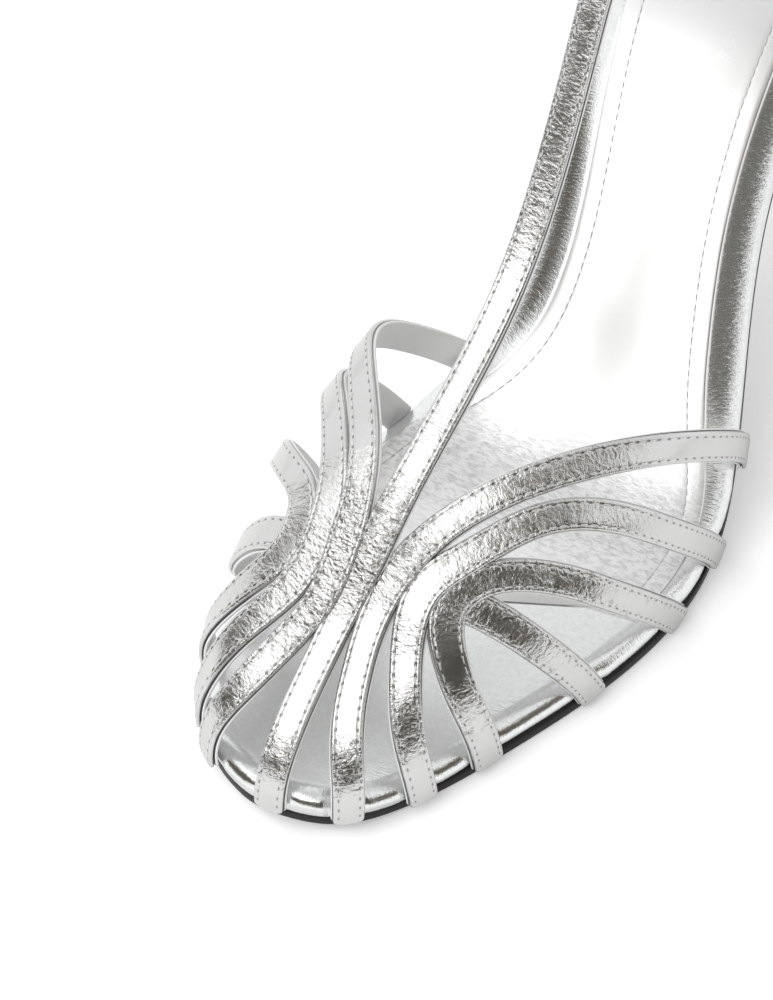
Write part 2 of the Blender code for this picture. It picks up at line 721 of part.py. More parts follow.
def heel_caps(last_level, count):
    """Close the tip flat and the seat with strips across it, which follow its curve."""
    caps = [tuple(range(count))]
    base = last_level * count
    half = HEEL_REAR_POINTS // 2
    order = [(half + i) % count for i in range(count)]
    for i in range(1, count // 2 + 1):
        caps.append(tuple(base + order[j] for j in (i - 1, i, -i, -i + 1)))
    return caps


def main():
    for piece in list(bpy.data.objects):
        bpy.data.objects.remove(piece, do_unlink=True)
    silver = finish("silver_leather", (0.78, 0.78, 0.77), 0.28, 0.9)
    lining = finish("silver_lining", (0.80, 0.80, 0.79), 0.22, 0.9)
    black = finish("black_sole", (0.012, 0.012, 0.015), 0.45, 0.0)
    metal = finish("buckle_metal", (0.80, 0.80, 0.80), 0.15, 1.0)
    make_soles(silver, black, lining)
    make_upper(silver)
    make_counter(silver)
    make_ankle_strap(silver)
    make_buckle(metal)
    make_heel(silver, black)


main()
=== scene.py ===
"""Silver T-bar sandal with a high slim heel, for a left foot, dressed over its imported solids.

Sizes are in millimetres until a mesh is made. X points to the outer side of the foot, Y from toe to
heel and Z up. "From toe" is a distance in plan from the tip of the sole, and "above" is a height square
to the footbed, from the sole's underside.
"""
import math

import bmesh
import bpy
import numpy as np
from mathutils import Matrix, Vector


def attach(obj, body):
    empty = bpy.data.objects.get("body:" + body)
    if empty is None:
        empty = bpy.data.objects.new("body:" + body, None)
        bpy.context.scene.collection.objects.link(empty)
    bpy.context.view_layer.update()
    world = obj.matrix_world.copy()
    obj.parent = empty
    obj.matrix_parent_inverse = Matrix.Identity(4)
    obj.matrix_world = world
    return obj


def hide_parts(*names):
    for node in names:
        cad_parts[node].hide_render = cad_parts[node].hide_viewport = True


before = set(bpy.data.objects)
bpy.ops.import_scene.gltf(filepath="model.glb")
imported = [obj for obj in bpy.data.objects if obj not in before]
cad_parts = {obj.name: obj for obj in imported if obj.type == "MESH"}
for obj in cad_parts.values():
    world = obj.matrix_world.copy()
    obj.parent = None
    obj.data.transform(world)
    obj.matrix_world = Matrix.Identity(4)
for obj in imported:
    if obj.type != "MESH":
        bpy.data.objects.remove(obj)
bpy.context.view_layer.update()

# Outsole: a thin black leather sole, cut to the shoe's outline, with an inked and waxed edge.
# It is cemented under the insole, from the toe to the breast of the heel.
MM = 0.001
SOLE_LENGTH = 212.5
TREAD_MIDDLE = 50.0
TOE_TIP_ACROSS = -12.0
HEEL_BACK_ACROSS = 0.0
SOLE_OUTLINE = (
    # from toe, inner side across, outer side across
    (2.0, -20.1, -1.4),
    (6.0, -26.5, 4.8),
    (12.0, -31.4, 9.9),
    (20.0, -36.0, 14.7),
    (32.0, -39.3, 20.8),
    (48.0, -40.4, 28.7),
    (66.0, -39.5, 35.7),
    (84.0, -35.6, 39.3),
    (102.0, -27.0, 38.5),
    (120.0, -18.4, 32.7),
    (140.0, -19.0, 26.5),
    (160.0, -22.9, 24.7),
    (180.0, -24.6, 24.5),
    (196.0, -22.0, 22.0),
    (206.0, -15.6, 15.6),
)
TOE_SPRING = 4.6
TOE_SPRING_RUN = 27.2
ARCH_ANGLE = 45.9
ARCH_START = 69.4
ARCH_FULL = 123.0
SEAT_ANGLE = 22.2
SEAT_START = 140.5
SEAT_FULL = 192.0
PROFILE_LEVEL = 5.0
OUTSOLE_THICK = 2.8
OUTSOLE_END = 168.1
TOE_DROP = 1.5
OUTER_LEDGE = 0.85
OUTER_LEDGE_RUNS = (10.0, 32.0, 84.0, 112.0)
OUTSOLE_SECTION = (
    # above, inset from the outline: bottom corner, upright edge, top corner
    (0.0, 0.95),
    (0.12, 0.62),
    (0.45, 0.36),
    (0.9, 0.3),
    (2.2, 0.3),
    (2.62, 0.36),
    (OUTSOLE_THICK, 0.6),
)
SOLE_RIBS = 190
SOLE_COLUMNS = 10
WELD = 0.004
SLIVER = 0.001
PROFILE_SAMPLES = 1001
NOISE_SPAN = (0.3, 0.7)
INK_BLACK = (0.009, 0.009, 0.011)
INK_WORN = (0.026, 0.024, 0.023)
INK_ROUGHNESS = (0.32, 0.46)
INK_GRAIN = 0.05
INK_GRAIN_NOISE = (900.0, 4.0)
INK_CLOUD_NOISE = (60.0, 2.0)


def smooth(value):
    """Ease from 0 to 1 with flat ends."""
    value = np.clip(value, 0.0, 1.0)
    return value * value * (3.0 - 2.0 * value)


def ease(value, start, full):
    """Ease from 0 at the start of a run to 1 at its end."""
    return smooth((value - start) / (full - start))


def plateau(value, rise, risen, fall, fallen):
    """Ease from 0 up to 1, and down to 0 again."""
    return ease(value, rise, risen) * (1.0 - ease(value, fall, fallen))


def unit(vectors):
    return vectors / np.linalg.norm(vectors, axis=-1, keepdims=True)


def spline(knots, values, period=None):
    """Return the cubic curve through values at knots, closed when it has a period."""
    at = np.array(knots, float)
    height = np.array(values, float)
    if period:
        at = np.append(at, at[0] + period)
        height = np.append(height, height[0])
    count = len(at)
    step = np.diff(at)
    slope = np.diff(height) / step
    system = np.zeros((count, count))
    target = np.zeros(count)
    for i in range(1, count - 1):
        system[i, i - 1:i + 2] = (step[i - 1], 2.0 * (step[i - 1] + step[i]), step[i])
        target[i] = 6.0 * (slope[i] - slope[i - 1])
    if period:
        system[0, 0], system[0, -1] = 1.0, -1.0
        system[-1, [0, 1, -2, -1]] = (2.0 * step[0], step[0], step[-1], 2.0 * step[-1])
        target[-1] = 6.0 * (slope[0] - slope[-1])
    else:
        system[0, 0] = system[-1, -1] = 1.0
    bend = np.linalg.solve(system, target)

    def curve(where):
        where = np.asarray(where, float)
        if period:
            where = at[0] + np.mod(where - at[0], period)
        i = np.clip(np.searchsorted(at, where, side="right") - 1, 0, count - 2)
        before = (at[i + 1] - where) / step[i]
        after = 1.0 - before
        sag = (before ** 3 - before) * bend[i] + (after ** 3 - after) * bend[i + 1]
        return before * height[i] + after * height[i + 1] + sag * step[i] ** 2 / 6.0

    return curve


def edge_angle(from_toe):
    """Return the turn along the sole's closed outline: 0 at the toe tip, half a turn at the heel's back."""
    return np.arccos(1.0 - 2.0 * np.asarray(from_toe) / SOLE_LENGTH)


outline_knots = [(0.0, TOE_TIP_ACROSS)]
outline_knots += [(edge_angle(station), across) for station, _, across in SOLE_OUTLINE]
outline_knots += [(math.pi, HEEL_BACK_ACROSS)]
outline_knots += [
    (2.0 * math.pi - edge_angle(station), across) for station, across, _ in reversed(SOLE_OUTLINE)
]
edge_across = spline(*zip(*outline_knots), period=2.0 * math.pi)


def edge(angle):
    return np.stack((edge_across(angle), SOLE_LENGTH * (1.0 - np.cos(angle)) / 2.0), axis=-1)


def edge_outward(angle):
    nudge = 1e-4
    along = edge(angle + nudge) - edge(angle - nudge)
    return unit(np.stack((along[..., 1], -along[..., 0]), axis=-1))


def tilt(from_toe):
    arch = ARCH_ANGLE * ease(from_toe, ARCH_START, ARCH_FULL)
    settled = (ARCH_ANGLE - SEAT_ANGLE) * ease(from_toe, SEAT_START, SEAT_FULL)
    return np.radians(arch - settled)


profile_stations = np.linspace(0.0, SOLE_LENGTH, PROFILE_SAMPLES)
profile_slopes = np.tan(tilt(profile_stations))
profile_rises = (profile_slopes[1:] + profile_slopes[:-1]) / 2.0 * np.diff(profile_stations)
profile_heights = np.concatenate(([0.0], np.cumsum(profile_rises)))


def underside(from_toe):
    spring = TOE_SPRING * np.clip(1.0 - from_toe / TOE_SPRING_RUN, 0.0, None) ** 2
    return np.interp(from_toe, profile_stations, profile_heights) + spring


def sole_point(across, from_toe, above):
    lean = tilt(from_toe)
    over = above - PROFILE_LEVEL
    along = from_toe - over * np.sin(lean) - TREAD_MIDDLE
    height = underside(from_toe) + PROFILE_LEVEL + over * np.cos(lean)
    return np.stack((across, along, height), axis=-1)


def edge_point(angle, outward, above):
    plan = edge(angle) + outward * edge_outward(angle)
    return sole_point(plan[..., 0], plan[..., 1], above)


def make_piece(name, points, faces, material, sharp_angle=50.0, places=None):
    """Make a closed piece from points in millimetres; places are named values kept on its points."""
    mesh = bpy.data.meshes.new(name)
    mesh.from_pydata((np.asarray(points) * MM).tolist(), [], faces)
    for key, values in (places or {}).items():
        values = np.asarray(values, np.float32)
        is_vector = values.ndim == 2
        layer = mesh.attributes.new(key, "FLOAT_VECTOR" if is_vector else "FLOAT", "POINT")
        layer.data.foreach_set("vector" if is_vector else "value", values.ravel())
    shape = bmesh.new()
    shape.from_mesh(mesh)
    bmesh.ops.remove_doubles(shape, verts=shape.verts, dist=WELD * MM)
    bmesh.ops.dissolve_degenerate(shape, edges=shape.edges, dist=SLIVER * MM)
    bmesh.ops.recalc_face_normals(shape, faces=shape.faces)
    shape.to_mesh(mesh)
    shape.free()
    mesh.shade_smooth()
    mesh.set_sharp_from_angle(angle=math.radians(sharp_angle))
    mesh.materials.append(material)
    piece = bpy.data.objects.new(name, mesh)
    bpy.context.scene.collection.objects.link(piece)
    return piece


def loft(rings, is_open=True):
    """Return the quads between equal closed rings, with the two end faces when the run is open."""
    count = len(rings[0])
    faces = []
    for level in range(len(rings) - 1 if is_open else len(rings)):
        low = level * count
        high = (level + 1) % len(rings) * count
        for i in range(count):
            j = (i + 1) % count
            faces.append((low + i, low + j, high + j, high + i))
    if is_open:
        last = (len(rings) - 1) * count
        faces += [tuple(range(count)), tuple(range(last, last + count))]
    return faces


def toe_drop(from_toe):
    """Return how much the layers under the footbed thicken downward at the toe."""
    return TOE_DROP * np.clip(1.0 - from_toe / TOE_SPRING_RUN, 0.0, None) ** 2


def sole_layer(starts, end, section_at, crown_at=None):
    """Return rings across one layer under the foot, with each point's plan and distance inside the edge.

    starts are where the outer and the inner edge begin. section_at gives rows of (above, inset) at a turn of
    the outline, from the bottom to the top, and crown_at gives the rise of the top at a distance inside.
    """
    outer_turns = np.linspace(edge_angle(starts[0]), edge_angle(end), SOLE_RIBS + 1)
    inner_turns = 2.0 * math.pi - np.linspace(edge_angle(starts[1]), edge_angle(end), SOLE_RIBS + 1)
    across_top = np.linspace(0.0, 1.0, SOLE_COLUMNS + 2)[1:-1, None]
    rings, places = [], []
    for outer_turn, inner_turn in zip(outer_turns, inner_turns):
        outer_rows, inner_rows = (np.array(section_at(turn)) for turn in (outer_turn, inner_turn))
        outer, inner = (
            edge(turn) - rows[:, 1:] * edge_outward(turn)
            for turn, rows in ((outer_turn, outer_rows), (inner_turn, inner_rows))
        )
        top = outer[-1] + (inner[-1] - outer[-1]) * across_top
        bottom = inner[0] + (outer[0] - inner[0]) * across_top
        plan = np.concatenate((outer, top, inner[::-1], bottom))
        above = np.concatenate((
            outer_rows[:, 0], np.full(len(top), outer_rows[-1, 0]),
            inner_rows[::-1, 0], np.full(len(bottom), inner_rows[0, 0])))
        inside = np.minimum(across_top[:, 0], 1.0 - across_top[:, 0]) * np.linalg.norm(inner[-1] - outer[-1])
        depths = [rows[:, 1] - rows[0, 1] for rows in (outer_rows, inner_rows)]
        depth = np.concatenate((depths[0], depths[0][-1] + inside, depths[1][::-1], inside))
        if crown_at is not None:
            is_top = np.arange(len(plan)) < len(outer) * 2 + len(top)
            above = above + np.where(is_top, crown_at(depth), 0.0)
        rings.append(sole_point(plan[:, 0], plan[:, 1], above))
        places.append(np.column_stack((plan, depth)))
    return rings, np.concatenate(places)


def outsole_section(turn):
    """Return the rows of the sole's edge, which stands out a little along the outer side of the ball."""
    from_toe = edge(turn)[1]
    outward = OUTER_LEDGE * plateau(from_toe, *OUTER_LEDGE_RUNS) * float(math.sin(turn) > 0.0)
    return np.array(OUTSOLE_SECTION) - np.array((toe_drop(from_toe), outward))


def fill(tree, node, **inputs):
    """Fill a node's inputs, by name or as i0, i1 by number, with values or with other nodes' sockets."""
    for key, value in inputs.items():
        is_number = key[0] == "i" and key[1:].isdigit()
        name = key.replace("_", " ").title().replace("Ior", "IOR")
        socket = node.inputs[int(key[1:]) if is_number else name]
        if isinstance(value, bpy.types.NodeSocket):
            tree.links.new(value, socket)
        else:
            socket.default_value = value


def add_node(tree, kind, settings=None, **inputs):
    """Add a node, set its own settings and fill its inputs."""
    node = tree.nodes.new(kind)
    for key, value in (settings or {}).items():
        setattr(node, key, value)
    fill(tree, node, **inputs)
    return node


def compute(tree, operation, *values, **settings):
    """Return the result of one operation on values and sockets."""
    inputs = {f"i{number}": value for number, value in enumerate(values)}
    return add_node(tree, "ShaderNodeMath", {"operation": operation, **settings}, **inputs).outputs[0]


def ramp(tree, value, low, high, first, last, is_eased=False):
    """Return a value that goes from first to last while another one goes from low to high."""
    settings = {"interpolation_type": "SMOOTHSTEP" if is_eased else "LINEAR"}
    limits = {"i1": low, "i2": high, "i3": first, "i4": last}
    return add_node(tree, "ShaderNodeMapRange", settings, value=value, **limits).outputs["Result"]


def blend(tree, amount, first, second):
    """Return the mix of two colours, each one a socket or its three parts."""
    first, second = ((*part, 1.0) if isinstance(part, tuple) else part for part in (first, second))
    return add_node(tree, "ShaderNodeMix", {"data_type": "RGBA"}, i0=amount, i6=first, i7=second).outputs[2]


def noise(tree, place, scale, detail, **more):
    """Return a cloudy noise at a place, with its scale and its detail."""
    more.update(vector=place, scale=scale, detail=detail)
    return add_node(tree, "ShaderNodeTexNoise", **more).outputs["Fac"]


def emboss(tree, height, depth, strength=1.0, is_sunk=False, **under):
    """Return the normal of a relief with a depth in millimetres, over another normal when it is given."""
    return add_node(
        tree, "ShaderNodeBump", {"invert": is_sunk},
        strength=strength, distance=depth * MM, height=height, **under).outputs["Normal"]


def split(tree, vector):
    """Return the sockets of a vector's three parts."""
    return add_node(tree, "ShaderNodeSeparateXYZ", vector=vector).outputs


def object_place(tree):
    return add_node(tree, "ShaderNodeTexCoord").outputs["Object"]


def new_material(name):
    """Return a new material with its node tree and its shader."""
    material = bpy.data.materials.new(name)
    material.use_nodes = True
    tree = material.node_tree
    return material, tree, tree.nodes["Principled BSDF"]


inked_edge, tree, shader = new_material("inked_edge_black")
grain = noise(tree, object_place(tree), *INK_GRAIN_NOISE, roughness=0.6)
cloud = noise(tree, object_place(tree), *INK_CLOUD_NOISE)
fill(
    tree, shader, base_color=blend(tree, cloud, INK_BLACK, INK_WORN), specular_ior_level=0.2,
    roughness=ramp(tree, cloud, *NOISE_SPAN, *INK_ROUGHNESS),
    normal=emboss(tree, grain, INK_GRAIN, strength=0.35))
rings, _ = sole_layer((0.0, 0.0), OUTSOLE_END, outsole_section)
inked_outsole = make_piece("inked_outsole", np.concatenate(rings), loft(rings), inked_edge)
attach(inked_outsole, "root")
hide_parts("outsole")

# Insole: a stiff board wrapped in silver leather, which is drawn down over the rounded edge and glued.
# The leather is pleated finely where it turns the edge, and lies smooth under the toes.
INSOLE_TOP = 7.7
INSOLE_BOTTOM = OUTSOLE_THICK - 0.1
INSOLE_ROLLS = {
    # arcs from the flat top outward: radius, and the angle at which it ends
    "toe": ((4.5, 20.0), (4.5, 63.0), (2.0, 90.0)),
    "outer_waist": ((2.0, 20.0), (14.0, 46.0), (2.0, 90.0)),
    "inner_waist": ((2.0, 10.0), (24.0, 24.0), (3.2, 90.0)),
}
ROLL_STEPS = (5, 9, 8)
TUCK_STEPS = 6
INSOLE_TUCK = 0.7
WAIST_START = 92.0
WAIST_FULL = 124.0
ARCH_SIDE_FADE = (165.0, 195.0)
STRAP_FEET = (
    # distance along the sole's edge from the toe tip, positive on the outer side
    -125.0, -109.0, -87.0, -63.8, -41.5, -26.5, -15.5, 1.7, 16.5, 32.0, 47.5, 73.5, 98.0, 113.5, 130.8)
STRAP_FOOT_HALF = 4.4
PILLOW = 0.45
PILLOW_RUN = (-1.6, 0.8)
PILLOW_FULLNESS = 0.7
EDGE_SAMPLES = 2001
PLEAT_DEPTH = 0.06
PLEAT_NOISE = (1.7, 2.5)
MOTTLE_NOISE = (0.9, 4.0)
GRAIN_NOISE = (2.6, 3.0)
TONE_NOISE = (0.13, 2.0)
INSOLE_FOIL = (0.18, 0.26, 0.03)
PLEAT_STRETCH = 0.22
PLEAT_FADE = (3.0, 8.5)
MOTTLE_SPAN = (0.35, 0.65)
MOTTLE_LEAST = 0.55
ROLLED_ROUGHNESS = (0.125, 0.15)
OUTER_DULL = 0.09
OUTER_PLEATS = 2.4
OUTER_WORN_RUN = (66.0, 104.0)
SIDE_MARK = 40.0
SILVER = (0.72, 0.72, 0.715)
SILVER_DEEP = (0.66, 0.66, 0.65)
LINING_COOL = (0.89, 0.905, 0.905)


def along_path(path):
    """Return each point's distance along a path."""
    return np.concatenate(([0.0], np.cumsum(np.linalg.norm(np.diff(path, axis=0), axis=1))))


edge_angles = np.linspace(-math.pi, math.pi, EDGE_SAMPLES)
edge_lengths = along_path(edge(edge_angles))
edge_around = edge_lengths - np.interp(0.0, edge_angles, edge_lengths)


def waist(from_toe):
    """Ease from the forefoot, 0, to the waist and heel of the sole, 1."""
    return ease(from_toe, WAIST_START, WAIST_FULL)


def edge_roll(arcs):
    """Return inset and drop along a rolled edge, from its outermost line up to the flat top."""
    out, drop = [np.zeros(1)], [np.zeros(1)]
    before = 0.0
    for (radius, ends_at), steps in zip(arcs, ROLL_STEPS):
        ends_at = math.radians(ends_at)
        angles = np.linspace(before, ends_at, steps + 1)[1:]
        out.append(out[-1][-1] + radius * (np.sin(angles) - math.sin(before)))
        drop.append(drop[-1][-1] + radius * (math.cos(before) - np.cos(angles)))
        before = ends_at
    out, drop = np.concatenate(out), np.concatenate(drop)
    return np.column_stack((out[-1] - out, drop))[::-1]


def inner_side(turn):
    """Return 1 along the inner side's arch and 0 on the outer side, evened out behind it."""
    return float(math.sin(turn) < 0.0) * (1.0 - ease(edge(turn)[..., 1], *ARCH_SIDE_FADE))


def pillow(turn):
    """Return how far the wrapped edge swells between the straps that are pressed against it."""
    around = np.interp(math.remainder(turn, 2.0 * math.pi), edge_angles, edge_around)
    if not STRAP_FEET[0] < around < STRAP_FEET[-1]:
        return 0.0
    gap = min(abs(around - foot) for foot in STRAP_FEET)
    return PILLOW * float(ease(gap - STRAP_FOOT_HALF, *PILLOW_RUN))


def insole_section(turn):
    """Return the rows of the insole's edge: tucked under, upright, then rolled over to the top."""
    from_toe = edge(turn)[1]
    front, outer, inner = (edge_roll(INSOLE_ROLLS[key]) for key in ("toe", "outer_waist", "inner_waist"))
    roll = front + (outer + (inner - outer) * inner_side(turn) - front) * waist(from_toe)
    middle = INSOLE_TOP - roll[0, 1]
    bottom = INSOLE_BOTTOM - toe_drop(from_toe)
    under = np.linspace(math.pi / 2.0, 0.0, TUCK_STEPS + 1)[:-1]
    tuck = np.column_stack((
        middle - (middle - bottom) * np.sin(under), INSOLE_TUCK * (1.0 - np.cos(under))))
    rows = np.concatenate((tuck, np.column_stack((INSOLE_TOP - roll[:, 1], roll[:, 0]))))
    swell = np.sin(np.linspace(0.0, math.pi, len(rows))) ** PILLOW_FULLNESS
    rows[:, 1] -= pillow(turn) * swell * np.clip(1.0 - rows[:, 1] / roll[-1, 0], 0.0, 1.0)
    return rows


def shader_group(name, inputs, outputs):
    """Return an empty shader group with its named sockets, and its two end nodes."""
    group = bpy.data.node_groups.new(name, "ShaderNodeTree")
    for key, kind in inputs.items():
        group.interface.new_socket(key, in_out="INPUT", socket_type=kind)
    for key, kind in outputs.items():
        group.interface.new_socket(key, in_out="OUTPUT", socket_type=kind)
    return group, group.nodes.new("NodeGroupInput"), group.nodes.new("NodeGroupOutput")


foil_grain, given, made = shader_group(
    "foil_grain",
    {"Place": "NodeSocketVector"},
    {"Height": "NodeSocketFloat", "Tone": "NodeSocketFloat"},
)
fill(
    foil_grain, made, height=noise(foil_grain, given.outputs["Place"], *GRAIN_NOISE, roughness=0.55),
    tone=noise(foil_grain, given.outputs["Place"], *TONE_NOISE))


def kept_on(tree, name, output="Vector"):
    """Return the socket of a value that is kept on the piece's points."""
    return add_node(tree, "ShaderNodeAttribute", {"attribute_name": name}).outputs[output]


def fed_by(shader, name):
    """Return the socket that feeds a shader's input."""
    return shader.inputs[name].links[0].from_socket


def silver_foil(name, rough_low, rough_high, grain_depth, place_name=None):
    """Return a silver foil finish on grained leather, its tree and shader, and its place in millimetres."""
    material, tree, shader = new_material(name)
    if place_name:
        spot = kept_on(tree, place_name)
    else:
        spot = add_node(
            tree, "ShaderNodeVectorMath", {"operation": "SCALE"},
            i0=object_place(tree), scale=1.0 / MM).outputs[0]
    grain = add_node(tree, "ShaderNodeGroup", {"node_tree": foil_grain}, place=spot).outputs
    fill(
        tree, shader, metallic=1.0, base_color=blend(tree, grain["Tone"], SILVER_DEEP, SILVER),
        roughness=ramp(tree, grain["Tone"], *NOISE_SPAN, rough_low, rough_high),
        normal=emboss(tree, grain["Height"], grain_depth))
    return material, tree, shader, spot


wrapped_leather, tree, shader, spot = silver_foil("wrapped_silver_leather", *INSOLE_FOIL)
parts = split(tree, kept_on(tree, "edge_place"))
near_edge = ramp(tree, parts["Y"], *PLEAT_FADE, 1.0, 0.0, is_eased=True)
stretch = add_node(
    tree, "ShaderNodeCombineXYZ",
    x=parts["X"], y=compute(tree, "MULTIPLY", parts["Y"], PLEAT_STRETCH), z=parts["Z"]).outputs[0]
pleats = noise(tree, stretch, *PLEAT_NOISE, roughness=0.65)
past_ball = ramp(tree, parts["X"], *OUTER_WORN_RUN, 0.0, 1.0, is_eased=True)
outer_side = compute(tree, "MULTIPLY", past_ball, compute(tree, "GREATER_THAN", parts["Z"], 0.0))
pleat_share = compute(tree, "MULTIPLY", near_edge, ramp(tree, outer_side, 0.0, 1.0, 1.0, OUTER_PLEATS))
pleat_height = compute(tree, "MULTIPLY", pleats, pleat_share)
mottle = ramp(tree, noise(tree, spot, *MOTTLE_NOISE, roughness=0.7), *MOTTLE_SPAN, MOTTLE_LEAST, 1.0)
rolled = ramp(tree, outer_side, 0.0, 1.0, *ROLLED_ROUGHNESS)
worn_outside = compute(tree, "MULTIPLY", near_edge, outer_side)
fill(
    tree, shader, base_color=blend(tree, mottle, SILVER, LINING_COOL),
    metallic=compute(tree, "MULTIPLY_ADD", worn_outside, -OUTER_DULL, 1.0),
    roughness=ramp(tree, near_edge, 0.0, 1.0, fed_by(shader, "Roughness"), rolled),
    normal=emboss(tree, pleat_height, PLEAT_DEPTH, normal=fed_by(shader, "Normal")))
rings, places = sole_layer((0.0, 0.0), SOLE_LENGTH, insole_section)
walked = along_path(np.array([ring[TUCK_STEPS] for ring in rings]))
edge_places = np.column_stack(
    (np.repeat(walked, len(rings[0])), places[:, 2], np.sign(places[:, 0]) * SIDE_MARK))
wrapped_insole = make_piece(
    "wrapped_insole", np.concatenate(rings), loft(rings), wrapped_leather, places={"edge_place": edge_places})
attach(wrapped_insole, "root")
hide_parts("insole")

# Sock: silver leather over a thin foam pad, with a row of stitches inside its cut edge.
# It is glued on the insole from the heel to a slanted cut across the ball of the foot.
SOCK_STARTS = (69.2, 48.6)
SOCK_INSET_FRONT = 3.2
SOCK_INSET_BACK = 6.1
SOCK_INSET_ARCH = 8.2
SOCK_BASE = INSOLE_TOP - 0.5
SOCK_EDGE_TOP = 8.35
SOCK_STITCH_IN = 3.7
SOCK_SEAM_DEPTH = 0.04
SOCK_SEAM_HALF = 0.45
SOCK_CROWN = 0.35
SOCK_CROWN_RUN = 9.0
SOCK_CROWN_RATE = 2.2
SOCK_SILVER = (0.96, 0.96, 0.955)
SOCK_CREASE_SHADE = (0.69, 0.695, 0.69)
SOCK_CREASE_DEPTH = 0.10
SOCK_CREASE_RUN = (14.0, 34.0, 42.0, 58.0)
SOCK_CREASE_LEAST = 0.15
SOCK_CREASE_SPAN = (0.36, 0.56)
SOCK_CREASE_STRETCH = (0.4, 1.0, 1.0)
SOCK_CREASE_NOISE = (1.3, 3.0)
SOCK_FOIL = (0.27, 0.33, 0.012)
SOCK_CUT_EDGE = (0.36, 0.36, 0.36)
SOCK_CUT_FADE = (0.05, 0.25)
SOCK_HOLE_SHARE = 0.35
SOCK_STITCH_OVER = 0.12
STITCH_AIM = 0.3
STITCH_PITCH = 2.2
STITCH_LENGTH = 1.3
STITCH_ARCH = 0.08
THREAD_THICK = 0.25
THREAD_PALE = (0.86, 0.86, 0.85)
THREAD_DEEP = (0.68, 0.68, 0.67)
THREAD_GREY = (0.60, 0.60, 0.595)
THREAD_TWIST = 0.05
THREAD_NOISE = (4200.0, 1.0)
THREAD_METAL = 0.8
THREAD_ROUGHNESS = 0.36
THREAD_SIDES = 6
STITCH_POINTS = 5
HOLE_LENGTH = 1.05
HOLE_WIDTH = 0.56
HOLE_DENT = 0.05
HOLE_FADE = (0.2, 1.25)
# the needle holes' colour is painted shade
HOLE_SHADE = (0.27, 0.27, 0.275)
SOCK_SLOPE = ((0.45, 0.03), (0.22, 0.12), (0.07, 0.26), (0.0, 0.5))
SOCK_SKIVE = 0.6
SOCK_SKIVE_RUN = 6.0
SOCK_TOP_INSETS = (1.5, 2.2, 2.8, 3.2, 3.45, 3.7, 3.95, 4.2, 4.7, 5.5, 7.0, 9.0, 11.5)
SOCK_SECTION = (
    (SOCK_BASE, 0.0),
    *((SOCK_EDGE_TOP - drop, inset) for drop, inset in SOCK_SLOPE),
    *((SOCK_EDGE_TOP, inset) for inset in SOCK_TOP_INSETS),
)


def sock_inset(turn):
    back = SOCK_INSET_BACK + (SOCK_INSET_ARCH - SOCK_INSET_BACK) * inner_side(turn)
    return SOCK_INSET_FRONT + (back - SOCK_INSET_FRONT) * waist(edge(turn)[1])


def sock_section(turn):
    return np.array(SOCK_SECTION) + np.array((0.0, sock_inset(turn)))


def sock_rise(inside):
    """Return the pad's rise at a distance inside its edge, with the furrow that the stitches pull."""
    swell = SOCK_CROWN * (1.0 - np.exp(-np.clip(inside, 0.0, None) / SOCK_CROWN_RUN * SOCK_CROWN_RATE))
    furrow = SOCK_SEAM_DEPTH * np.exp(-((inside - SOCK_STITCH_IN) / SOCK_SEAM_HALF) ** 2)
    return np.where(inside > 0.1, swell - furrow, 0.0)


def sock_seam(angle, inside):
    """Return a point on the sock's top at a distance inside its edge."""
    insets = np.array([sock_inset(turn) for turn in angle]) + inside
    plan = edge(angle) - insets[:, None] * edge_outward(angle)
    return sole_point(plan[:, 0], plan[:, 1], SOCK_EDGE_TOP + sock_rise(np.full(len(plan), inside)))


needle_holes, given, made = shader_group(
    "needle_holes",
    {"Seam Place": "NodeSocketVector", "Row": "NodeSocketFloat"},
    {"Mask": "NodeSocketFloat"},
)
parts = split(needle_holes, given.outputs["Seam Place"])
off_along = compute(needle_holes, "SUBTRACT", parts["X"], compute(needle_holes, "ROUND", parts["X"]))
off_across = compute(needle_holes, "SUBTRACT", parts["Y"], given.outputs["Row"])
apart = add_node(
    needle_holes, "ShaderNodeCombineXYZ",
    x=compute(needle_holes, "MULTIPLY", off_along, STITCH_PITCH / HOLE_LENGTH * 2.0),
    y=compute(needle_holes, "MULTIPLY", off_across, 2.0 / HOLE_WIDTH)).outputs[0]
reach = add_node(needle_holes, "ShaderNodeVectorMath", {"operation": "LENGTH"}, i0=apart).outputs["Value"]
fill(needle_holes, made, mask=ramp(needle_holes, reach, *HOLE_FADE, 1.0, 0.0, is_eased=True))


def pierce(tree, shader, row, amount=1.0):
    """Dent a finish at its needle holes, on the row at a distance inside the edge, and paint shade into them.
    """
    holes = add_node(
        tree, "ShaderNodeGroup", {"node_tree": needle_holes}, seam_place=kept_on(tree, "seam_place"), row=row)
    mask = compute(tree, "MULTIPLY", holes.outputs["Mask"], amount)
    fill(
        tree, shader, base_color=blend(tree, mask, fed_by(shader, "Base Color"), HOLE_SHADE),
        normal=emboss(tree, mask, HOLE_DENT, is_sunk=True, normal=fed_by(shader, "Normal")))


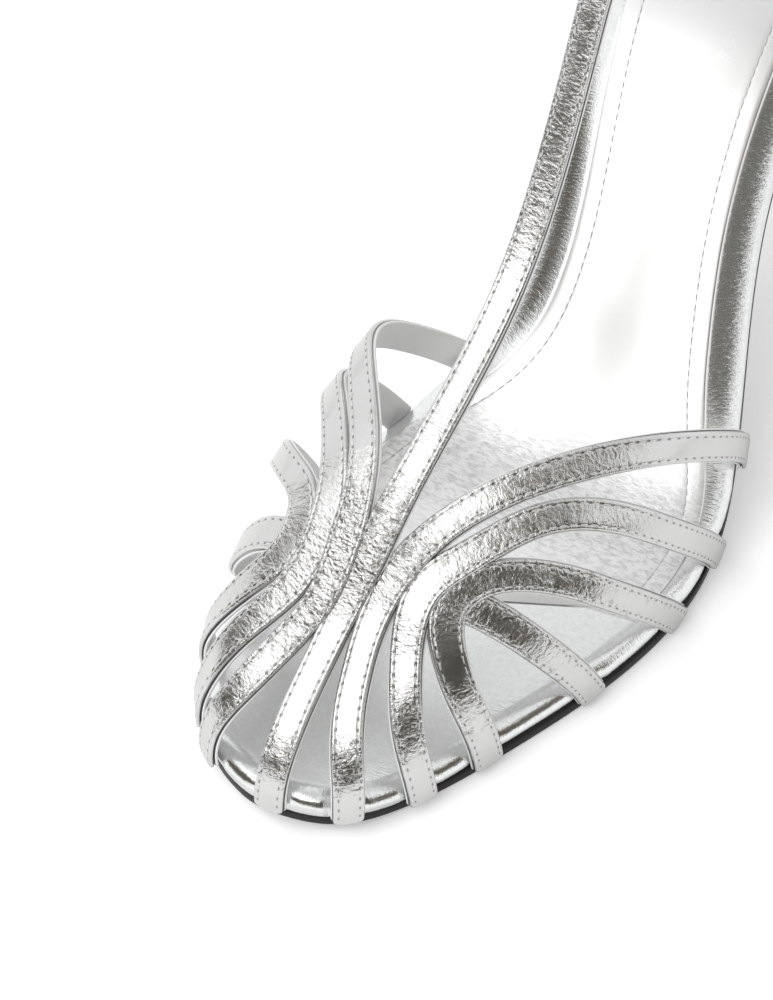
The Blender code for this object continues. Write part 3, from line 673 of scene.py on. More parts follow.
stitch_tree = bpy.data.node_groups.new("sewn_row", "GeometryNodeTree")
stitch_tree.interface.new_socket("Geometry", in_out="INPUT", socket_type="NodeSocketGeometry")
for key in ("Stitch Length", "Thread Thickness", "Stitch Arch"):
    stitch_tree.interface.new_socket(key, in_out="INPUT", socket_type="NodeSocketFloat")
stitch_tree.interface.new_socket("Thread", in_out="INPUT", socket_type="NodeSocketMaterial")
stitch_tree.interface.new_socket("Geometry", in_out="OUTPUT", socket_type="NodeSocketGeometry")
given = stitch_tree.nodes.new("NodeGroupInput")
made = stitch_tree.nodes.new("NodeGroupOutput")
half = compute(stitch_tree, "MULTIPLY", given.outputs["Stitch Length"], 0.5)
minus_half = compute(stitch_tree, "MULTIPLY", half, -1.0)
tuck = compute(stitch_tree, "MULTIPLY", given.outputs["Stitch Arch"], -1.0)
thread_line = add_node(
    stitch_tree, "GeometryNodeCurveQuadraticBezier", resolution=STITCH_POINTS,
    start=add_node(stitch_tree, "ShaderNodeCombineXYZ", x=minus_half, z=tuck).outputs[0],
    middle=add_node(stitch_tree, "ShaderNodeCombineXYZ", z=given.outputs["Stitch Arch"]).outputs[0],
    end=add_node(stitch_tree, "ShaderNodeCombineXYZ", x=half, z=tuck).outputs[0])
thread_round = add_node(
    stitch_tree, "GeometryNodeCurvePrimitiveCircle", resolution=THREAD_SIDES,
    radius=compute(stitch_tree, "MULTIPLY", given.outputs["Thread Thickness"], 0.5))
stitch_shape = add_node(
    stitch_tree, "GeometryNodeCurveToMesh",
    curve=thread_line.outputs["Curve"], profile_curve=thread_round.outputs["Curve"], fill_caps=True)
outward, along = (
    add_node(
        stitch_tree, "GeometryNodeInputNamedAttribute", {"data_type": "FLOAT_VECTOR"}, name=key).outputs[0]
    for key in ("outward", "along")
)
turned = add_node(
    stitch_tree, "FunctionNodeAxesToRotation", {"primary_axis": "Z", "secondary_axis": "X"},
    primary_axis=outward, secondary_axis=along)
placed = add_node(
    stitch_tree, "GeometryNodeInstanceOnPoints",
    points=given.outputs["Geometry"], instance=stitch_shape.outputs["Mesh"], rotation=turned.outputs[0])
whole = add_node(stitch_tree, "GeometryNodeRealizeInstances", geometry=placed.outputs["Instances"])
threaded = add_node(
    stitch_tree, "GeometryNodeSetMaterial",
    geometry=whole.outputs["Geometry"], material=given.outputs["Thread"])
fill(stitch_tree, made, geometry=threaded.outputs["Geometry"])


def spun_thread(name, deep, pale):
    """Return a twisted thread's finish."""
    material, tree, shader = new_material(name)
    twist = noise(tree, object_place(tree), *THREAD_NOISE)
    fill(
        tree, shader, base_color=blend(tree, twist, deep, pale),
        metallic=THREAD_METAL, roughness=THREAD_ROUGHNESS,
        normal=emboss(tree, twist, THREAD_TWIST, strength=0.6))
    return material


def apply_modifiers(piece):
    """Give a piece the mesh that its modifiers make, and clear them."""
    applied = bpy.data.meshes.new_from_object(piece.evaluated_get(bpy.context.evaluated_depsgraph_get()))
    piece.modifiers.clear()
    piece.data = applied


def sew(name, rows, thread):
    """Sew rows of stitches: points in millimetres, the ways along the seam and out of the leather."""
    points, along, outward = (np.concatenate(part) for part in zip(*rows))
    marks = bpy.data.meshes.new(name + "_marks")
    marks.from_pydata((points * MM).tolist(), [], [])
    for key, values in (("along", along), ("outward", outward)):
        layer = marks.attributes.new(key, "FLOAT_VECTOR", "POINT")
        layer.data.foreach_set("vector", values.astype(np.float32).ravel())
    seam = bpy.data.objects.new(name, marks)
    bpy.context.scene.collection.objects.link(seam)
    sewing = seam.modifiers.new("sewn_row", "NODES")
    sewing.node_group = stitch_tree
    values = {
        "Stitch Length": STITCH_LENGTH * MM, "Thread Thickness": THREAD_THICK * MM,
        "Stitch Arch": STITCH_ARCH * MM, "Thread": thread,
    }
    for socket in stitch_tree.interface.items_tree:
        if socket.in_out == "INPUT" and socket.name in values:
            sewing[socket.identifier] = values[socket.name]
    apply_modifiers(seam)
    seam.data.shade_smooth()
    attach(seam, "root")


def between(at, walked, values):
    """Return rows of values at distances along a path."""
    return np.stack([np.interp(at, walked, column) for column in values.T], axis=-1)


def seam_row(path, pitch):
    """Return stitch middles along a path, their directions, and its length in stitches at each point."""
    walked = along_path(path)
    count = int(round(walked[-1] / pitch))
    middles = (np.arange(count) + 0.5) * walked[-1] / count
    ahead, behind = (between(middles + step, walked, path) for step in (STITCH_AIM, -STITCH_AIM))
    return between(middles, walked, path), unit(ahead - behind), walked * count / walked[-1]


def at_stitches(path, count, values):
    """Return rows of values at the middles of even stitches along a path."""
    walked = along_path(path)
    return between((np.arange(count) + 0.5) * walked[-1] / count, walked, values)


sock_leather, tree, shader, spot = silver_foil("smooth_sock_leather", *SOCK_FOIL)
drawn_across = add_node(
    tree, "ShaderNodeVectorMath", {"operation": "MULTIPLY"}, i0=spot, i1=SOCK_CREASE_STRETCH).outputs[0]
creases = noise(tree, drawn_across, *SOCK_CREASE_NOISE, roughness=0.65, distortion=0.6)
station = split(tree, spot)["Y"]
begins = ramp(tree, station, *SOCK_CREASE_RUN[:2], SOCK_CREASE_LEAST, 1.0, is_eased=True)
ends = ramp(tree, station, *SOCK_CREASE_RUN[2:], 1.0, 0.0, is_eased=True)
at_ball = compute(tree, "MULTIPLY", begins, ends)
creased = compute(tree, "MULTIPLY", creases, at_ball)
# painted shade: the silver is greyed in the hollows of the crease bump at the ball
crease_shaded = compute(tree, "MULTIPLY", ramp(tree, creases, *SOCK_CREASE_SPAN, 1.0, 0.0), at_ball)
inside = split(tree, kept_on(tree, "seam_place"))["Y"]
raw = compute(tree, "MULTIPLY", ramp(tree, inside, *SOCK_CUT_FADE, 1.0, 0.0), ends)
fill(
    tree, shader, base_color=blend(tree, raw, blend(tree, crease_shaded, SOCK_SILVER, SOCK_CREASE_SHADE), SOCK_CUT_EDGE),
    normal=emboss(tree, creased, SOCK_CREASE_DEPTH, normal=fed_by(shader, "Normal")))
pierce(tree, shader, SOCK_STITCH_IN, SOCK_HOLE_SHARE)
rings, places = sole_layer(SOCK_STARTS, SOLE_LENGTH, sock_section, sock_rise)
from_cut = along_path(np.array([ring.mean(axis=0) for ring in rings]))
thinned = SOCK_SKIVE * (1.0 - smooth(from_cut / SOCK_SKIVE_RUN))
for ring, drop, plan in zip(rings, thinned, np.split(places, len(rings))):
    part = np.clip((ring[:, 2] - underside(plan[:, 1]) - SOCK_BASE) / (SOCK_EDGE_TOP - SOCK_BASE), 0.0, 1.0)
    ring[:, 2] -= drop * part
marks, stitches_at = [], []
for start, side in zip(SOCK_STARTS, (1.0, -1.0)):
    turns = side * np.linspace(edge_angle(start), math.pi, SOLE_RIBS + 1)
    seam_line = sock_seam(turns, SOCK_STITCH_IN)
    seam_line[:, 2] -= thinned
    middles, ahead, stitches = seam_row(seam_line, STITCH_PITCH)
    slope = tilt(edge(turns)[:, 1])
    upward = np.stack((0.0 * slope, -np.sin(slope), np.cos(slope)), axis=-1)
    outward = at_stitches(seam_line, len(middles), upward)
    marks.append((middles + outward * SOCK_STITCH_OVER, ahead, outward))
    stitches_at.append(stitches)
ring_count = len(rings[0])
is_inner = (np.arange(ring_count) >= len(SOCK_SECTION) + SOLE_COLUMNS // 2) & (
    np.arange(ring_count) < 2 * len(SOCK_SECTION) + SOLE_COLUMNS + SOLE_COLUMNS // 2)
along_stitches = np.where(is_inner[None, :], stitches_at[1][:, None], stitches_at[0][:, None]).ravel()
seam_places = np.column_stack((along_stitches, places[:, 2], 0.0 * along_stitches))
padded_sock = make_piece(
    "padded_sock", np.concatenate(rings), loft(rings), sock_leather, places={"seam_place": seam_places})
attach(padded_sock, "root")
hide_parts("sock_lining")
grey_thread = spun_thread("grey_thread", THREAD_GREY, THREAD_DEEP)
sew("sock_stitches", marks, grey_thread)

# Upper: nine narrow straps of silver leather, each folded over a lining and sewn along both edges.
# They run from under the insole's edge and are sewn side by side where they meet.
# The bar goes on to the ankle.
STRAP_WIDTH = 6.2
STRAP_THICK = 1.8
STITCH_IN = 1.0
RINGS_PER_STITCH = 4
STRAP_END_ROUND = 0.9
STRAP_END_ABOVE = 2.6
STRAP_GAP = 0.3
FORM_RIDGE = (
    # the foot's ridge: from toe, across, height over the floor
    (22.0, -12.1, 21.1),
    (42.0, -10.2, 36.8),
    (66.0, -7.3, 51.6),
    (90.0, -5.4, 64.7),
    (115.0, -3.8, 98.9),
)
RIDGE_LEAD = 22.0
RIDGE_LEAD_RUN = 70.0
SIDE_LIFT = 0.67
TOP_FLATNESS = 0.69
INNER_BULGE = 5.9
OUTER_BULGE = 3.0
BULGE_RUN = 60.0
CLIMB_LENGTH = 60.0
STACK_CLIMB = 0.5
JOINT_AROUND = 55.0
JOINT_STATION = 42.0
JOINT_REACH = 10.0
JOINT_OVERLAP = 0.9
STRAP_ROUTES = {
    # rows of around and climb on the foot's form: around runs along the sole's edge from the toe tip,
    # positive on the outer side, and climb goes from the edge, 0, to the ridge, 1
    "first_outer": (
        (16.5, 0.0), (17.5, 0.39), (23.5, 0.75), (37.0, 0.875), (55.0, 0.905),
        (68.5, 0.866), (86.0, 0.735), (104.2, 0.50), (119.4, 0.21), (130.8, 0.0)),
    "second_outer": (
        (32.0, 0.0), (31.5, 0.27), (35.0, 0.57), (44.0, 0.745), (56.0, 0.807),
        (65.5, 0.763), (81.0, 0.65), (97.0, 0.33), (113.5, 0.0)),
    "third_outer": (
        (47.5, 0.0), (46.0, 0.30), (47.5, 0.535), (55.0, 0.70), (61.0, 0.70),
        (70.5, 0.583), (82.0, 0.30), (98.0, 0.0)),
    "fourth_outer": ((58.0, 0.70), (61.5, 0.485), (65.5, 0.28), (73.5, 0.0)),
    "first_inner": (
        (-15.5, 0.0), (-17.0, 0.38), (-21.8, 0.71), (-36.5, 0.90), (-52.0, 0.91),
        (-65.0, 0.87), (-82.0, 0.705), (-98.0, 0.44), (-113.5, 0.16), (-125.0, 0.0)),
    "second_inner": (
        (-26.5, 0.0), (-27.3, 0.27), (-31.5, 0.53), (-42.0, 0.78), (-53.0, 0.812),
        (-64.0, 0.77), (-79.0, 0.602), (-92.0, 0.345), (-109.0, 0.0)),
    "third_inner": (
        (-41.5, 0.0), (-40.4, 0.31), (-43.8, 0.55), (-50.0, 0.693), (-59.5, 0.68),
        (-66.8, 0.55), (-73.6, 0.37), (-87.0, 0.0)),
    "fourth_inner": ((-52.5, 0.70), (-55.0, 0.50), (-56.8, 0.23), (-63.8, 0.0)),
}
STACK = {"first": 0.3, "second": -0.3, "third": -0.9, "fourth": -1.7}
BAR_STACK = 0.9
BAR_TOE_AROUND = 1.7
BAR_TOE_CLIMBS = (0.0, 0.2, 0.42, 0.66)
BAR_RIDGE_START = 32.0
BAR_BEND = (126.5, -2.8, 124.0)
BAR_LOOP_ACROSS = -1.0
BAR_LOOP_CLEAR = 0.8
BAR_LOOP_DROP = 3.6
BAR_RISE_POINTS = 24
BAR_FOLD_POINTS = 26
ROUTE_STEP = 0.4
BAR_STACK_OFF = 30.0
BAR_STACK_FADE = 16.0
ANKLE_MIDDLE = 172.0
ANKLE_HALF_LENGTH = 37.0
ANKLE_HALF_WIDTH = 29.0
ANKLE_HEIGHT = 147.0
ANKLE_THICK = 1.6
ANKLE_WIDTH = 6.0
STRAP_MIDDLE_SHARES = (0.0, 0.4, 0.8)
STRAP_SIDE_SECTION = (
    # inside the strap's edge, part of the half thickness, dark, lining: top leather, then groove, then lining
    (1.38, 1.02, 0.0, 0.0),
    (1.18, 1.0, 0.0, 0.0),
    (STITCH_IN, 0.97, 0.0, 0.0),
    (0.82, 1.0, 0.0, 0.0),
    (0.52, 1.0, 0.0, 0.0),
    (0.28, 0.93, 0.0, 0.0),
    (0.1, 0.78, 0.0, 0.0),
    (0.02, 0.57, 0.0, 0.0),
    (0.0, 0.3, 0.0, 0.0),
    (0.06, 0.12, 0.2, 0.0),
    (0.26, 0.03, 1.0, 0.0),
    (0.5, -0.08, 1.0, 0.5),
    (0.46, -0.2, 1.0, 1.0),
    (0.1, -0.27, 1.0, 1.0),
    (-0.04, -0.295, 0.8, 1.0),
    (-0.16, -0.31, 0.0, 1.0),
    (-0.25, -0.42, 0.0, 1.0),
    (-0.26, -0.7, 0.0, 1.0),
    (-0.18, -0.94, 0.0, 1.0),
    (0.1, -1.0, 0.0, 1.0),
    (1.6, -1.0, 0.0, 1.0),
)
STITCH_ROW = 2
STITCH_DIP = 0.03
HOLE_DIP = 0.02
STITCH_FIRST = 1.6
STITCH_OVER = 0.06
CRINKLE_BASE = 0.16
CRINKLE_FALL = 2.6
CRINKLE_SQUEEZE = (1.0, 0.6, 1.0)
STRAP_SHARP = 60.0
CRINKLE_ZONES = {
    # where the leather is worked over a bend: middle along the strap, reach, amount
    "bar": (
        (12.0, 6.0, 1.0), (45.0, 8.0, 0.6), (60.0, 13.0, 1.5), (80.0, 9.0, 0.5), (129.0, 15.0, 0.9),
        (160.0, 30.0, 0.55)),
    "first_outer": ((13.0, 6.0, 1.0), (48.0, 8.0, 0.5), (58.0, 8.0, 1.4), (82.0, 22.0, 0.9)),
    "second_outer": ((19.0, 9.0, 1.0), (36.0, 5.0, 0.7), (62.0, 16.0, 1.0), (90.0, 22.0, 0.4)),
    "third_outer": ((17.0, 8.0, 0.9), (39.0, 6.0, 0.9), (62.0, 22.0, 0.8), (84.0, 14.0, 0.5)),
    "fourth_outer": ((14.0, 20.0, 0.9),),
    "first_inner": ((16.0, 9.0, 0.9), (38.0, 20.0, 1.0), (60.0, 12.0, 0.9), (84.0, 20.0, 0.3)),
    "second_inner": ((26.0, 9.0, 0.6), (43.0, 12.0, 0.8), (64.0, 14.0, 0.3)),
    "third_inner": ((26.0, 12.0, 0.5), (44.0, 14.0, 0.3)),
    "fourth_inner": (),
}
STRAP_LEANS = {
    # how far a strap leans to its outer or front side, from the form it lies on: distance along it, degrees
    "first_outer": ((42.0, 0.0), (52.0, -7.0), (66.0, -7.0), (80.0, 0.0)),
    "second_outer": ((18.0, 0.0), (25.0, -7.0), (62.0, -6.0), (80.0, -4.0), (90.0, 0.0)),
    "third_outer": (
        (28.0, 0.0), (35.0, 9.0), (43.0, 9.0), (50.0, 0.0), (58.0, -7.0), (78.0, -7.0), (88.0, 0.0)),
    "fourth_outer": ((8.0, 0.0), (15.0, -6.0), (28.0, -6.0), (36.0, 0.0)),
    "first_inner": ((26.0, 0.0), (40.0, -7.0), (62.0, -7.0), (78.0, 0.0)),
}
STRAP_LIFTS = {
    # how far a strap stands off the form: where it begins, is full, stops being full and ends, and its height
    "first_inner": (32.0, 44.0, 62.0, 78.0, 0.55),
    "first_outer": (34.0, 46.0, 66.0, 80.0, -0.7),
    "third_inner": (48.0, 62.0, 72.0, 88.0, 1.1),
}
GROOVE_CLOSES = {
    # the run along a strap in which its groove closes
    "first_inner": (54.0, 68.0),
    "second_inner": (54.0, 68.0),
    "third_inner": (24.0, 36.0),
    "fourth_inner": (6.0, 14.0),
}
GROOVE_CLOSED = 0.3
TOP_CROWN = 0.04
CROWN_FALL = 0.01
SEAM_LEVEL = 0.3
NO_SEAM = 9.0
STRAPS_APART = 37.0
COVER_REACH = 0.6
COVER_OVER = 0.1
CRINKLE_DEPTH = 0.28
FINE_FOLDS = (1.3, 2.0)
LONG_FOLDS = (0.7, 1.0)
PUCKER_RUN = (0.5, 2.0)
PUCKER_LEAST = 0.6
STRAP_FOIL = (0.17, 0.23, 0.012)
FOLD_SHADE = (0.25, 0.245, 0.225)
FOLD_SHARE = 0.65
FOLD_SPAN = (-0.20, -0.04)
LINING_DULL = 0.6
LINING_ROUGHNESS = 0.42
GROOVE_DARK = (0.085, 0.085, 0.092)
LINING_SILVER = (0.84, 0.84, 0.83)
ridge_across, ridge_height = (
    spline([row[0] for row in FORM_RIDGE], [row[column] for row in FORM_RIDGE]) for column in (1, 2)
)


def ridge_point(from_toe):
    from_toe = np.asarray(from_toe, float)
    return np.stack((ridge_across(from_toe), from_toe - TREAD_MIDDLE, ridge_height(from_toe)), axis=-1)


def form_point(around, climb):
    """Return a point on the form of the foot, whose curves rise from the sole's edge flat into the ridge."""
    angle = np.interp(around, edge_around, edge_angles)
    foot = edge_point(angle, STRAP_GAP + STRAP_THICK / 2.0, STRAP_END_ABOVE)
    station = edge(angle)[..., 1]
    ahead = np.clip(1.0 - station / RIDGE_LEAD_RUN, 0.0, 1.0)
    ridge = ridge_point(station + RIDGE_LEAD * ahead ** 2)
    bulge = np.where(around > 0.0, OUTER_BULGE, INNER_BULGE) * np.clip(station / BULGE_RUN, 0.0, 1.0)
    side = foot.copy()
    side[..., :2] += edge_outward(angle) * bulge[..., None]
    side[..., 2] += SIDE_LIFT * (ridge - foot)[..., 2]
    top = ridge.copy()
    top[..., :2] += TOP_FLATNESS * (foot - ridge)[..., :2]
    share = np.asarray(climb)[..., None]
    rest = 1.0 - share
    low = rest ** 3 * foot + 3.0 * rest ** 2 * share * side
    return low + 3.0 * rest * share ** 2 * top + share ** 3 * ridge


def form_outward(around, climb):
    nudge_around, nudge_climb = 0.2, 0.004
    along = form_point(around + nudge_around, climb) - form_point(around - nudge_around, climb)
    upward = form_point(around, climb + nudge_climb) - form_point(around, climb - nudge_climb)
    return unit(np.cross(along, upward))


def curve_through(points, spacing, weights=None):
    """Sample a smooth curve through points at about the given spacing."""
    points = np.array(points, float)
    scale = np.ones(points.shape[1]) if weights is None else np.array(weights)
    knots = along_path(points * scale)
    samples = np.linspace(0.0, knots[-1], int(round(knots[-1] / spacing)) + 1)
    return np.stack([spline(knots, column)(samples) for column in points.T], axis=-1)


def joint_width(distance):
    return STRAP_WIDTH + JOINT_OVERLAP * np.exp(-(distance / JOINT_REACH) ** 2)


def bar_line():
    """Return the bar's middle line from the toe over the ridge to its loop, its outward side and widths."""
    toe = [form_point(np.array(BAR_TOE_AROUND), np.array(climb)) for climb in BAR_TOE_CLIMBS]
    ridge = [ridge_point(station) for station in (BAR_RIDGE_START, *(row[0] for row in FORM_RIDGE[1:]))]
    bend = (BAR_BEND[1], BAR_BEND[0] - TREAD_MIDDLE, BAR_BEND[2])
    radius = ANKLE_THICK / 2.0 + BAR_LOOP_CLEAR + STRAP_THICK / 2.0
    front = ANKLE_MIDDLE - ANKLE_HALF_LENGTH - TREAD_MIDDLE
    top = ANKLE_HEIGHT + ANKLE_WIDTH / 2.0 + BAR_LOOP_CLEAR
    low = ANKLE_HEIGHT - BAR_LOOP_DROP
    rise = curve_through([*toe, *ridge, bend, (BAR_LOOP_ACROSS, front - radius, low)], ROUTE_STEP)
    up = np.linspace(low, top, BAR_RISE_POINTS)[1:-1]
    rising = np.column_stack((0.0 * up + BAR_LOOP_ACROSS, 0.0 * up + front - radius, up))
    turns = np.linspace(0.0, math.pi, BAR_FOLD_POINTS)
    fold = np.column_stack(
        (0.0 * turns + BAR_LOOP_ACROSS, front - radius * np.cos(turns), top + radius * np.sin(turns)))
    falling = rising[::-1] + np.array((0.0, 2.0 * radius, 0.0))
    path = np.concatenate((rise, rising, fold, falling))
    along = unit(np.gradient(path, axis=0))
    outward = unit(np.cross(np.array((1.0, 0.0, 0.0)), along))
    walked = along_path(path)
    fade = 1.0 - smooth((walked - (walked[len(rise) - 1] - BAR_STACK_OFF)) / BAR_STACK_FADE)
    stacked = BAR_STACK * smooth(walked / RIDGE_LEAD) * fade
    widths = joint_width(path[:, 1] + TREAD_MIDDLE - JOINT_STATION)
    return path + outward * stacked[:, None], outward, widths


def strap_line(name):
    """Return the middle line of one side strap on the form, its outward side and widths."""
    route = curve_through(STRAP_ROUTES[name], ROUTE_STEP, (1.0, CLIMB_LENGTH))
    around = route[:, 0]
    climb = np.clip(route[:, 1], 0.0, 1.0)
    outward = form_outward(around, climb)
    stacked = STACK[name.split("_")[0]] * np.clip(climb / STACK_CLIMB, 0.0, 1.0)
    path = form_point(around, climb)
    if name in STRAP_LIFTS:
        *run, height = STRAP_LIFTS[name]
        stacked += height * plateau(along_path(path), *run)
    return path + outward * stacked[:, None], outward, joint_width(np.abs(around) - JOINT_AROUND)


def even_line(path, outward, widths, pitch):
    """Resample a strap's line in even steps, a few to each stitch, with its three directions."""
    walked = along_path(path)
    count = max(1, int(round(walked[-1] / pitch))) * RINGS_PER_STITCH
    at = np.linspace(0.0, walked[-1], count + 1)
    line = between(at, walked, path)
    along = unit(np.gradient(line, at, axis=0))
    across = unit(np.cross(along, between(at, walked, outward)))
    return {
        "at": at, "line": line, "along": along, "across": across, "out": np.cross(across, along),
        "half": np.interp(at, walked, widths) / 2.0,
    }


def lean(strap, rows):
    """Turn a strap about its own line, by rows of distance along it and degrees."""
    turn = np.radians(np.interp(strap["at"], *zip(*rows)))[:, None]
    across, out = strap["across"], strap["out"]
    strap["out"] = out * np.cos(turn) + across * np.sin(turn)
    strap["across"] = across * np.cos(turn) - out * np.sin(turn)


def to_end(walked):
    """Return each point's distance from the nearer end of a path."""
    return np.minimum(walked, walked[-1] - walked)


def strap_rings(strap, thick, number, crinkle, end_round=STRAP_END_ROUND):
    """Return a strap's points as closed rings, with the values that its finish reads at them."""
    at = strap["at"]
    count = len(at)
    end_gap = to_end(at)
    short = np.clip(end_round - end_gap, 0.0, end_round)
    cut = end_round - np.sqrt(np.clip(end_round ** 2 - short ** 2, 0.0, None))
    stitch_count = (count - 1) // RINGS_PER_STITCH
    is_hole = np.arange(count) % RINGS_PER_STITCH == 0
    columns = []
    for share in STRAP_MIDDLE_SHARES:
        wide = share * (strap["half"] - STRAP_SIDE_SECTION[0][0])
        columns.append((wide, 1.0 + TOP_CROWN - CROWN_FALL * share, 0.0, 0.0, strap["half"] - wide))
    for row, (inside, level, dark, lining) in enumerate(STRAP_SIDE_SECTION):
        dip = (STITCH_DIP + HOLE_DIP * is_hole) / thick * 2.0 if row == STITCH_ROW else 0.0
        off_seam = NO_SEAM * (level < SEAM_LEVEL)
        columns.append((strap["half"] - inside, level - dip, dark, lining, inside + off_seam))
    columns.append((np.zeros(count), -1.0, 0.0, 1.0, NO_SEAM))
    ring = columns + [(-wide, *rest) for wide, *rest in reversed(columns[1:-1])]
    even = np.zeros(count)
    in_ends = np.where(end_gap > STITCH_FIRST, 0.0, NO_SEAM)
    points, kept = [], {"strap_place": [], "seam_place": [], "dark": [], "lining": []}
    for wide, level, dark, lining, inside in ring:
        wide = np.clip(np.abs(wide) - cut, 0.0, None) * np.sign(wide)
        high = level * thick / 2.0 + even
        points.append(strap["line"] + strap["across"] * wide[:, None] + strap["out"] * high[:, None])
        kept["strap_place"].append(np.column_stack((at, wide, STRAPS_APART * number + even)))
        kept["seam_place"].append(np.column_stack((at / at[-1] * stitch_count, inside + in_ends, even)))
        kept["dark"].append(dark + even)
        kept["lining"].append(lining + even)
    kept = {key: np.stack(values, axis=1) for key, values in kept.items()}
    kept = {key: values.reshape(-1, *values.shape[2:]) for key, values in kept.items()}
    kept["bend"] = np.repeat(crinkle, len(ring))
    return np.stack(points, axis=1), kept


def strap_stitches(strap, thick):
    """Return where a strap's stitches lie, in two rows inside its edges, with their directions."""
    middles = np.arange(RINGS_PER_STITCH // 2, len(strap["at"]), RINGS_PER_STITCH)
    middles = middles[to_end(strap["at"])[middles] > STITCH_FIRST]
    level = STRAP_SIDE_SECTION[STITCH_ROW][1] * thick / 2.0 - STITCH_DIP + STITCH_OVER
    points = [
        strap["line"][middles] + strap["out"][middles] * level
        + strap["across"][middles] * (side * (strap["half"][middles] - STITCH_IN))[:, None]
        for side in (1.0, -1.0)
    ]
    along, out = (np.tile(strap[key][middles], (2, 1)) for key in ("along", "out"))
    return np.concatenate(points), along, out


def is_covered(points, strap, thick):
    """Tell which points lie within another strap."""
    nearest = np.argmin(np.linalg.norm(points[:, None] - strap["line"][None], axis=2), axis=1)
    offset = points - strap["line"][nearest]
    along, across, out = (np.sum(offset * strap[key][nearest], axis=1) for key in ("along", "across", "out"))
    beside = np.abs(across) < strap["half"][nearest]
    return beside & (np.abs(along) < COVER_REACH) & (np.abs(out) < thick / 2.0 + COVER_OVER)


def crinkle_along(at, zones):
    """Return how strongly the leather is crinkled at distances along a strap."""
    amount = np.full(len(at), CRINKLE_BASE)
    for middle, reach, strength in zones:
        amount = np.maximum(amount, strength * np.exp(-np.abs((at - middle) / reach) ** CRINKLE_FALL))
    return amount


foil_crinkle, given, made = shader_group(
    "foil_crinkle",
    {"Place": "NodeSocketVector", "Bend": "NodeSocketFloat"},
    {"Height": "NodeSocketFloat"},
)
squeeze = add_node(
    foil_crinkle, "ShaderNodeVectorMath", {"operation": "MULTIPLY"},
    i0=given.outputs["Place"], i1=CRINKLE_SQUEEZE).outputs[0]
fine_folds = noise(foil_crinkle, squeeze, *FINE_FOLDS, roughness=0.58, distortion=0.9)
long_folds = noise(foil_crinkle, squeeze, *LONG_FOLDS, distortion=0.4)
folds = compute(foil_crinkle, "SUBTRACT", compute(foil_crinkle, "ADD", fine_folds, long_folds), 1.0)
across = split(foil_crinkle, given.outputs["Place"])["Y"]
off_middle = compute(foil_crinkle, "ABSOLUTE", across)
pucker = ramp(foil_crinkle, off_middle, *PUCKER_RUN, PUCKER_LEAST, 1.0, is_eased=True)
puckered = compute(foil_crinkle, "MULTIPLY", folds, pucker)
fill(foil_crinkle, made, height=compute(foil_crinkle, "MULTIPLY", puckered, given.outputs["Bend"]))

strap_leather, tree, shader, spot = silver_foil("crinkled_strap_foil", *STRAP_FOIL, "strap_place")
bend, dark, lining = (kept_on(tree, key, "Fac") for key in ("bend", "dark", "lining"))
crinkle = add_node(
    tree, "ShaderNodeGroup", {"node_tree": foil_crinkle}, place=spot, bend=bend).outputs["Height"]
# painted shade: the foil is darkened in the hollows of the crinkle folds
in_folds = ramp(tree, crinkle, *FOLD_SPAN, FOLD_SHARE, 0.0, is_eased=True)
fold_shaded = blend(tree, in_folds, fed_by(shader, "Base Color"), FOLD_SHADE)
lined = blend(tree, lining, fold_shaded, LINING_SILVER)
not_foil = compute(tree, "MULTIPLY_ADD", lining, LINING_DULL, dark, use_clamp=True)
fill(
    tree, shader, base_color=blend(tree, dark, lined, GROOVE_DARK),
    metallic=compute(tree, "SUBTRACT", 1.0, not_foil),
    roughness=ramp(tree, lining, 0.0, 1.0, fed_by(shader, "Roughness"), LINING_ROUGHNESS),
    normal=emboss(tree, crinkle, CRINKLE_DEPTH, normal=fed_by(shader, "Normal")))
pierce(tree, shader, STITCH_IN)
straps = {"bar": even_line(*bar_line(), STITCH_PITCH)}
for name in STRAP_ROUTES:
    straps[name] = even_line(*strap_line(name), STITCH_PITCH)
    if name in STRAP_LEANS:
        lean(straps[name], STRAP_LEANS[name])
points, faces, kept, marks = [], [], [], []
for number, (name, strap) in enumerate(straps.items()):
    rings, values = strap_rings(strap, STRAP_THICK, number, crinkle_along(strap["at"], CRINKLE_ZONES[name]))
    if name in GROOVE_CLOSES:
        closed = ease(strap["at"], *GROOVE_CLOSES[name])
        values["dark"] *= np.repeat(1.0 - (1.0 - GROOVE_CLOSED) * closed, rings.shape[1])
    start = sum(len(part) for part in points)
    faces += [tuple(start + i for i in face) for face in loft(rings)]
    points.append(rings.reshape(-1, 3))
    kept.append(values)
    at, along, outward = strap_stitches(strap, STRAP_THICK)
    covered = [is_covered(at, other, STRAP_THICK) for other in straps.values() if other is not strap]
    is_seen = ~np.any(covered, axis=0)
    marks.append((at[is_seen], along[is_seen], outward[is_seen]))
stitched_straps = make_piece(
    "stitched_straps", np.concatenate(points), faces, strap_leather, STRAP_SHARP,
    {key: np.concatenate([values[key] for values in kept]) for key in kept[0]})
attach(stitched_straps, "root")
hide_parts("upper")
silver_thread = spun_thread("silver_thread", THREAD_DEEP, THREAD_PALE)
sew("strap_stitches", marks, silver_thread)

# Heel counter: two layers of silver leather that close the back of the shoe, turned in along the top.
# It is lasted under the insole's edge and rises to the ankle strap, with a row of stitches at its edge.
COUNTER_FRONT = 172.0
COUNTER_FRONT_HEIGHT = 10.0
COUNTER_BACK_HEIGHT = 62.0
COUNTER_BULGE = 2.5
COUNTER_SPREAD = 75.0
COUNTER_EASE = 0.85
COUNTER_COLUMNS = 150
COUNTER_ROWS = 34
COUNTER_FOOT = 3.1
COUNTER_WALL = 1.8
COUNTER_LIP = 0.9
COUNTER_SEAM_IN = 1.6
COUNTER_LIP_POINTS = 9
COUNTER_END_LEAST = 0.04
COUNTER_FOIL = (0.18, 0.25, 0.014)


